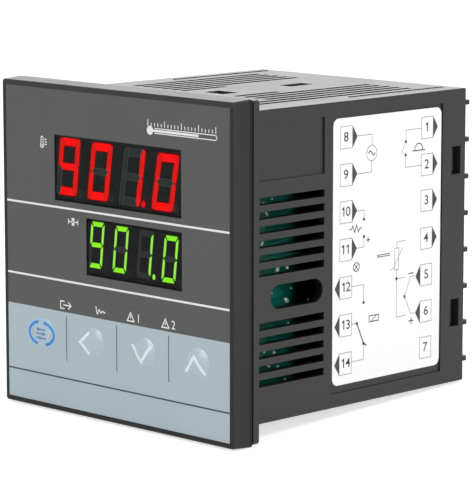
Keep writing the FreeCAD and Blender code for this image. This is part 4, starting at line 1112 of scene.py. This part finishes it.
def makeFloor():
    # the floor meets the foot of the front frame and the rear edge of the case, and still takes the shadow
    (frontY, frontZ), (rearY, rearZ) = stage["frontFoot"], stage["rearFoot"]
    slope = math.atan2(rearZ - frontZ, rearY - frontY)
    work = bmesh.new()
    bmesh.ops.create_grid(work, x_segments=8, y_segments=8, size=stage["floorSize"] / 2)
    mesh = bpy.data.meshes.new("floor")
    work.to_mesh(mesh)
    work.free()
    floor = bpy.data.objects.new("floor", mesh)
    floor.matrix_world = Matrix.Translation(Vector((0, frontY, frontZ)) * mm) @ Matrix.Rotation(slope, 4, "X")
    bpy.context.scene.collection.objects.link(floor)
    material, tree, shader = newMaterial("paleFloor", Base_Color=(*stage["floorShade"], 1), Roughness=0.9,
                                         Emission_Color=(1, 1, 1, 1), Specular_IOR_Level=0.0)
    glow = combine(tree, (-250, 300), "MULTIPLY", (seenRays(tree, (-900, 300)), "Value"), stage["floorGlow"])
    join(tree, glow, "Value", shader, "Emission Strength")
    mesh.materials.append(material)


def makeWorld():
    world = bpy.data.worlds.new("studio")
    bpy.context.scene.world = world
    world.use_nodes = True
    tree = world.node_tree
    tree.nodes.clear()
    result = addNode(tree, "ShaderNodeOutputWorld", (600, 0))
    fill = addNode(tree, "ShaderNodeBackground", (100, -100))
    setInputs(fill, Color=(1, 1, 1, 1), Strength=stage["fill"])
    seenWhite = addNode(tree, "ShaderNodeBackground", (100, 100))
    setInputs(seenWhite, Color=(1, 1, 1, 1), Strength=stage["seen"])
    choose = addNode(tree, "ShaderNodeMixShader", (350, 0))
    join(tree, seenRays(tree, (-500, 200)), "Value", choose, 0)
    join(tree, fill, "Background", choose, 1)
    join(tree, seenWhite, "Background", choose, 2)
    join(tree, choose, "Shader", result, "Surface")


lamps = {
    "keyRight": {"place": (1.1, 0.05, 0.22), "aim": (0.0, 0.02, 0.0), "size": 0.7, "watts": 7.5},
    "frontSoft": {"place": (-0.1, -1.2, 0.7), "aim": (0.0, 0.0, 0.0), "size": 1.1, "watts": 10.0},
    "overhead": {"place": (0.1, 0.2, 1.3), "aim": (0.0, 0.03, 0.0), "size": 1.2, "watts": 8.0},
    # these two show only in reflections: on the top, and along the rims of the keys
    "rearSheen": {"place": (-1.5, 1.5, 0.42), "aim": (0.0, 0.03, 0.03), "size": 1.6, "watts": 10.8,
                  "sheen": True},
    "keyGlint": {"place": (-0.58, -1.05, 0.09), "aim": (0.0, 0.0, -0.02), "size": 0.4, "watts": 1.8,
                 "sheen": True},
}


def makeLamps():
    for name, lamp in lamps.items():
        light = bpy.data.lights.new(name, "AREA")
        light.shape = "DISK"
        light.size = lamp["size"]
        light.energy = lamp["watts"]
        holder = bpy.data.objects.new(name, light)
        holder.location = lamp["place"]
        away = Vector(lamp["place"]) - Vector(lamp["aim"])
        holder.rotation_euler = away.to_track_quat("Z", "Y").to_euler()
        holder.visible_diffuse = not lamp.get("sheen", False)
        bpy.context.scene.collection.objects.link(holder)


view = {
    "place": (432.46, -405.15, 95.32), "azimuth": 44.87, "elevation": 9.055, "lens": 202.5, "sensor": 36.0,
    "nearest": 0.01, "farthest": 20.0,
}


def makeCamera():
    data = bpy.data.cameras.new("camera")
    data.lens = view["lens"]
    data.sensor_width = view["sensor"]
    data.clip_start = view["nearest"]
    data.clip_end = view["farthest"]
    camera = bpy.data.objects.new("camera", data)
    camera.location = Vector(view["place"]) * mm
    camera.rotation_euler = (math.radians(90 - view["elevation"]), 0, math.radians(view["azimuth"]))
    bpy.context.scene.collection.objects.link(camera)
    bpy.context.scene.camera = camera


makeFloor()
makeWorld()
makeLamps()
makeCamera()
bpy.context.scene.view_settings.view_transform = "Standard"
print("stage, light and camera done")
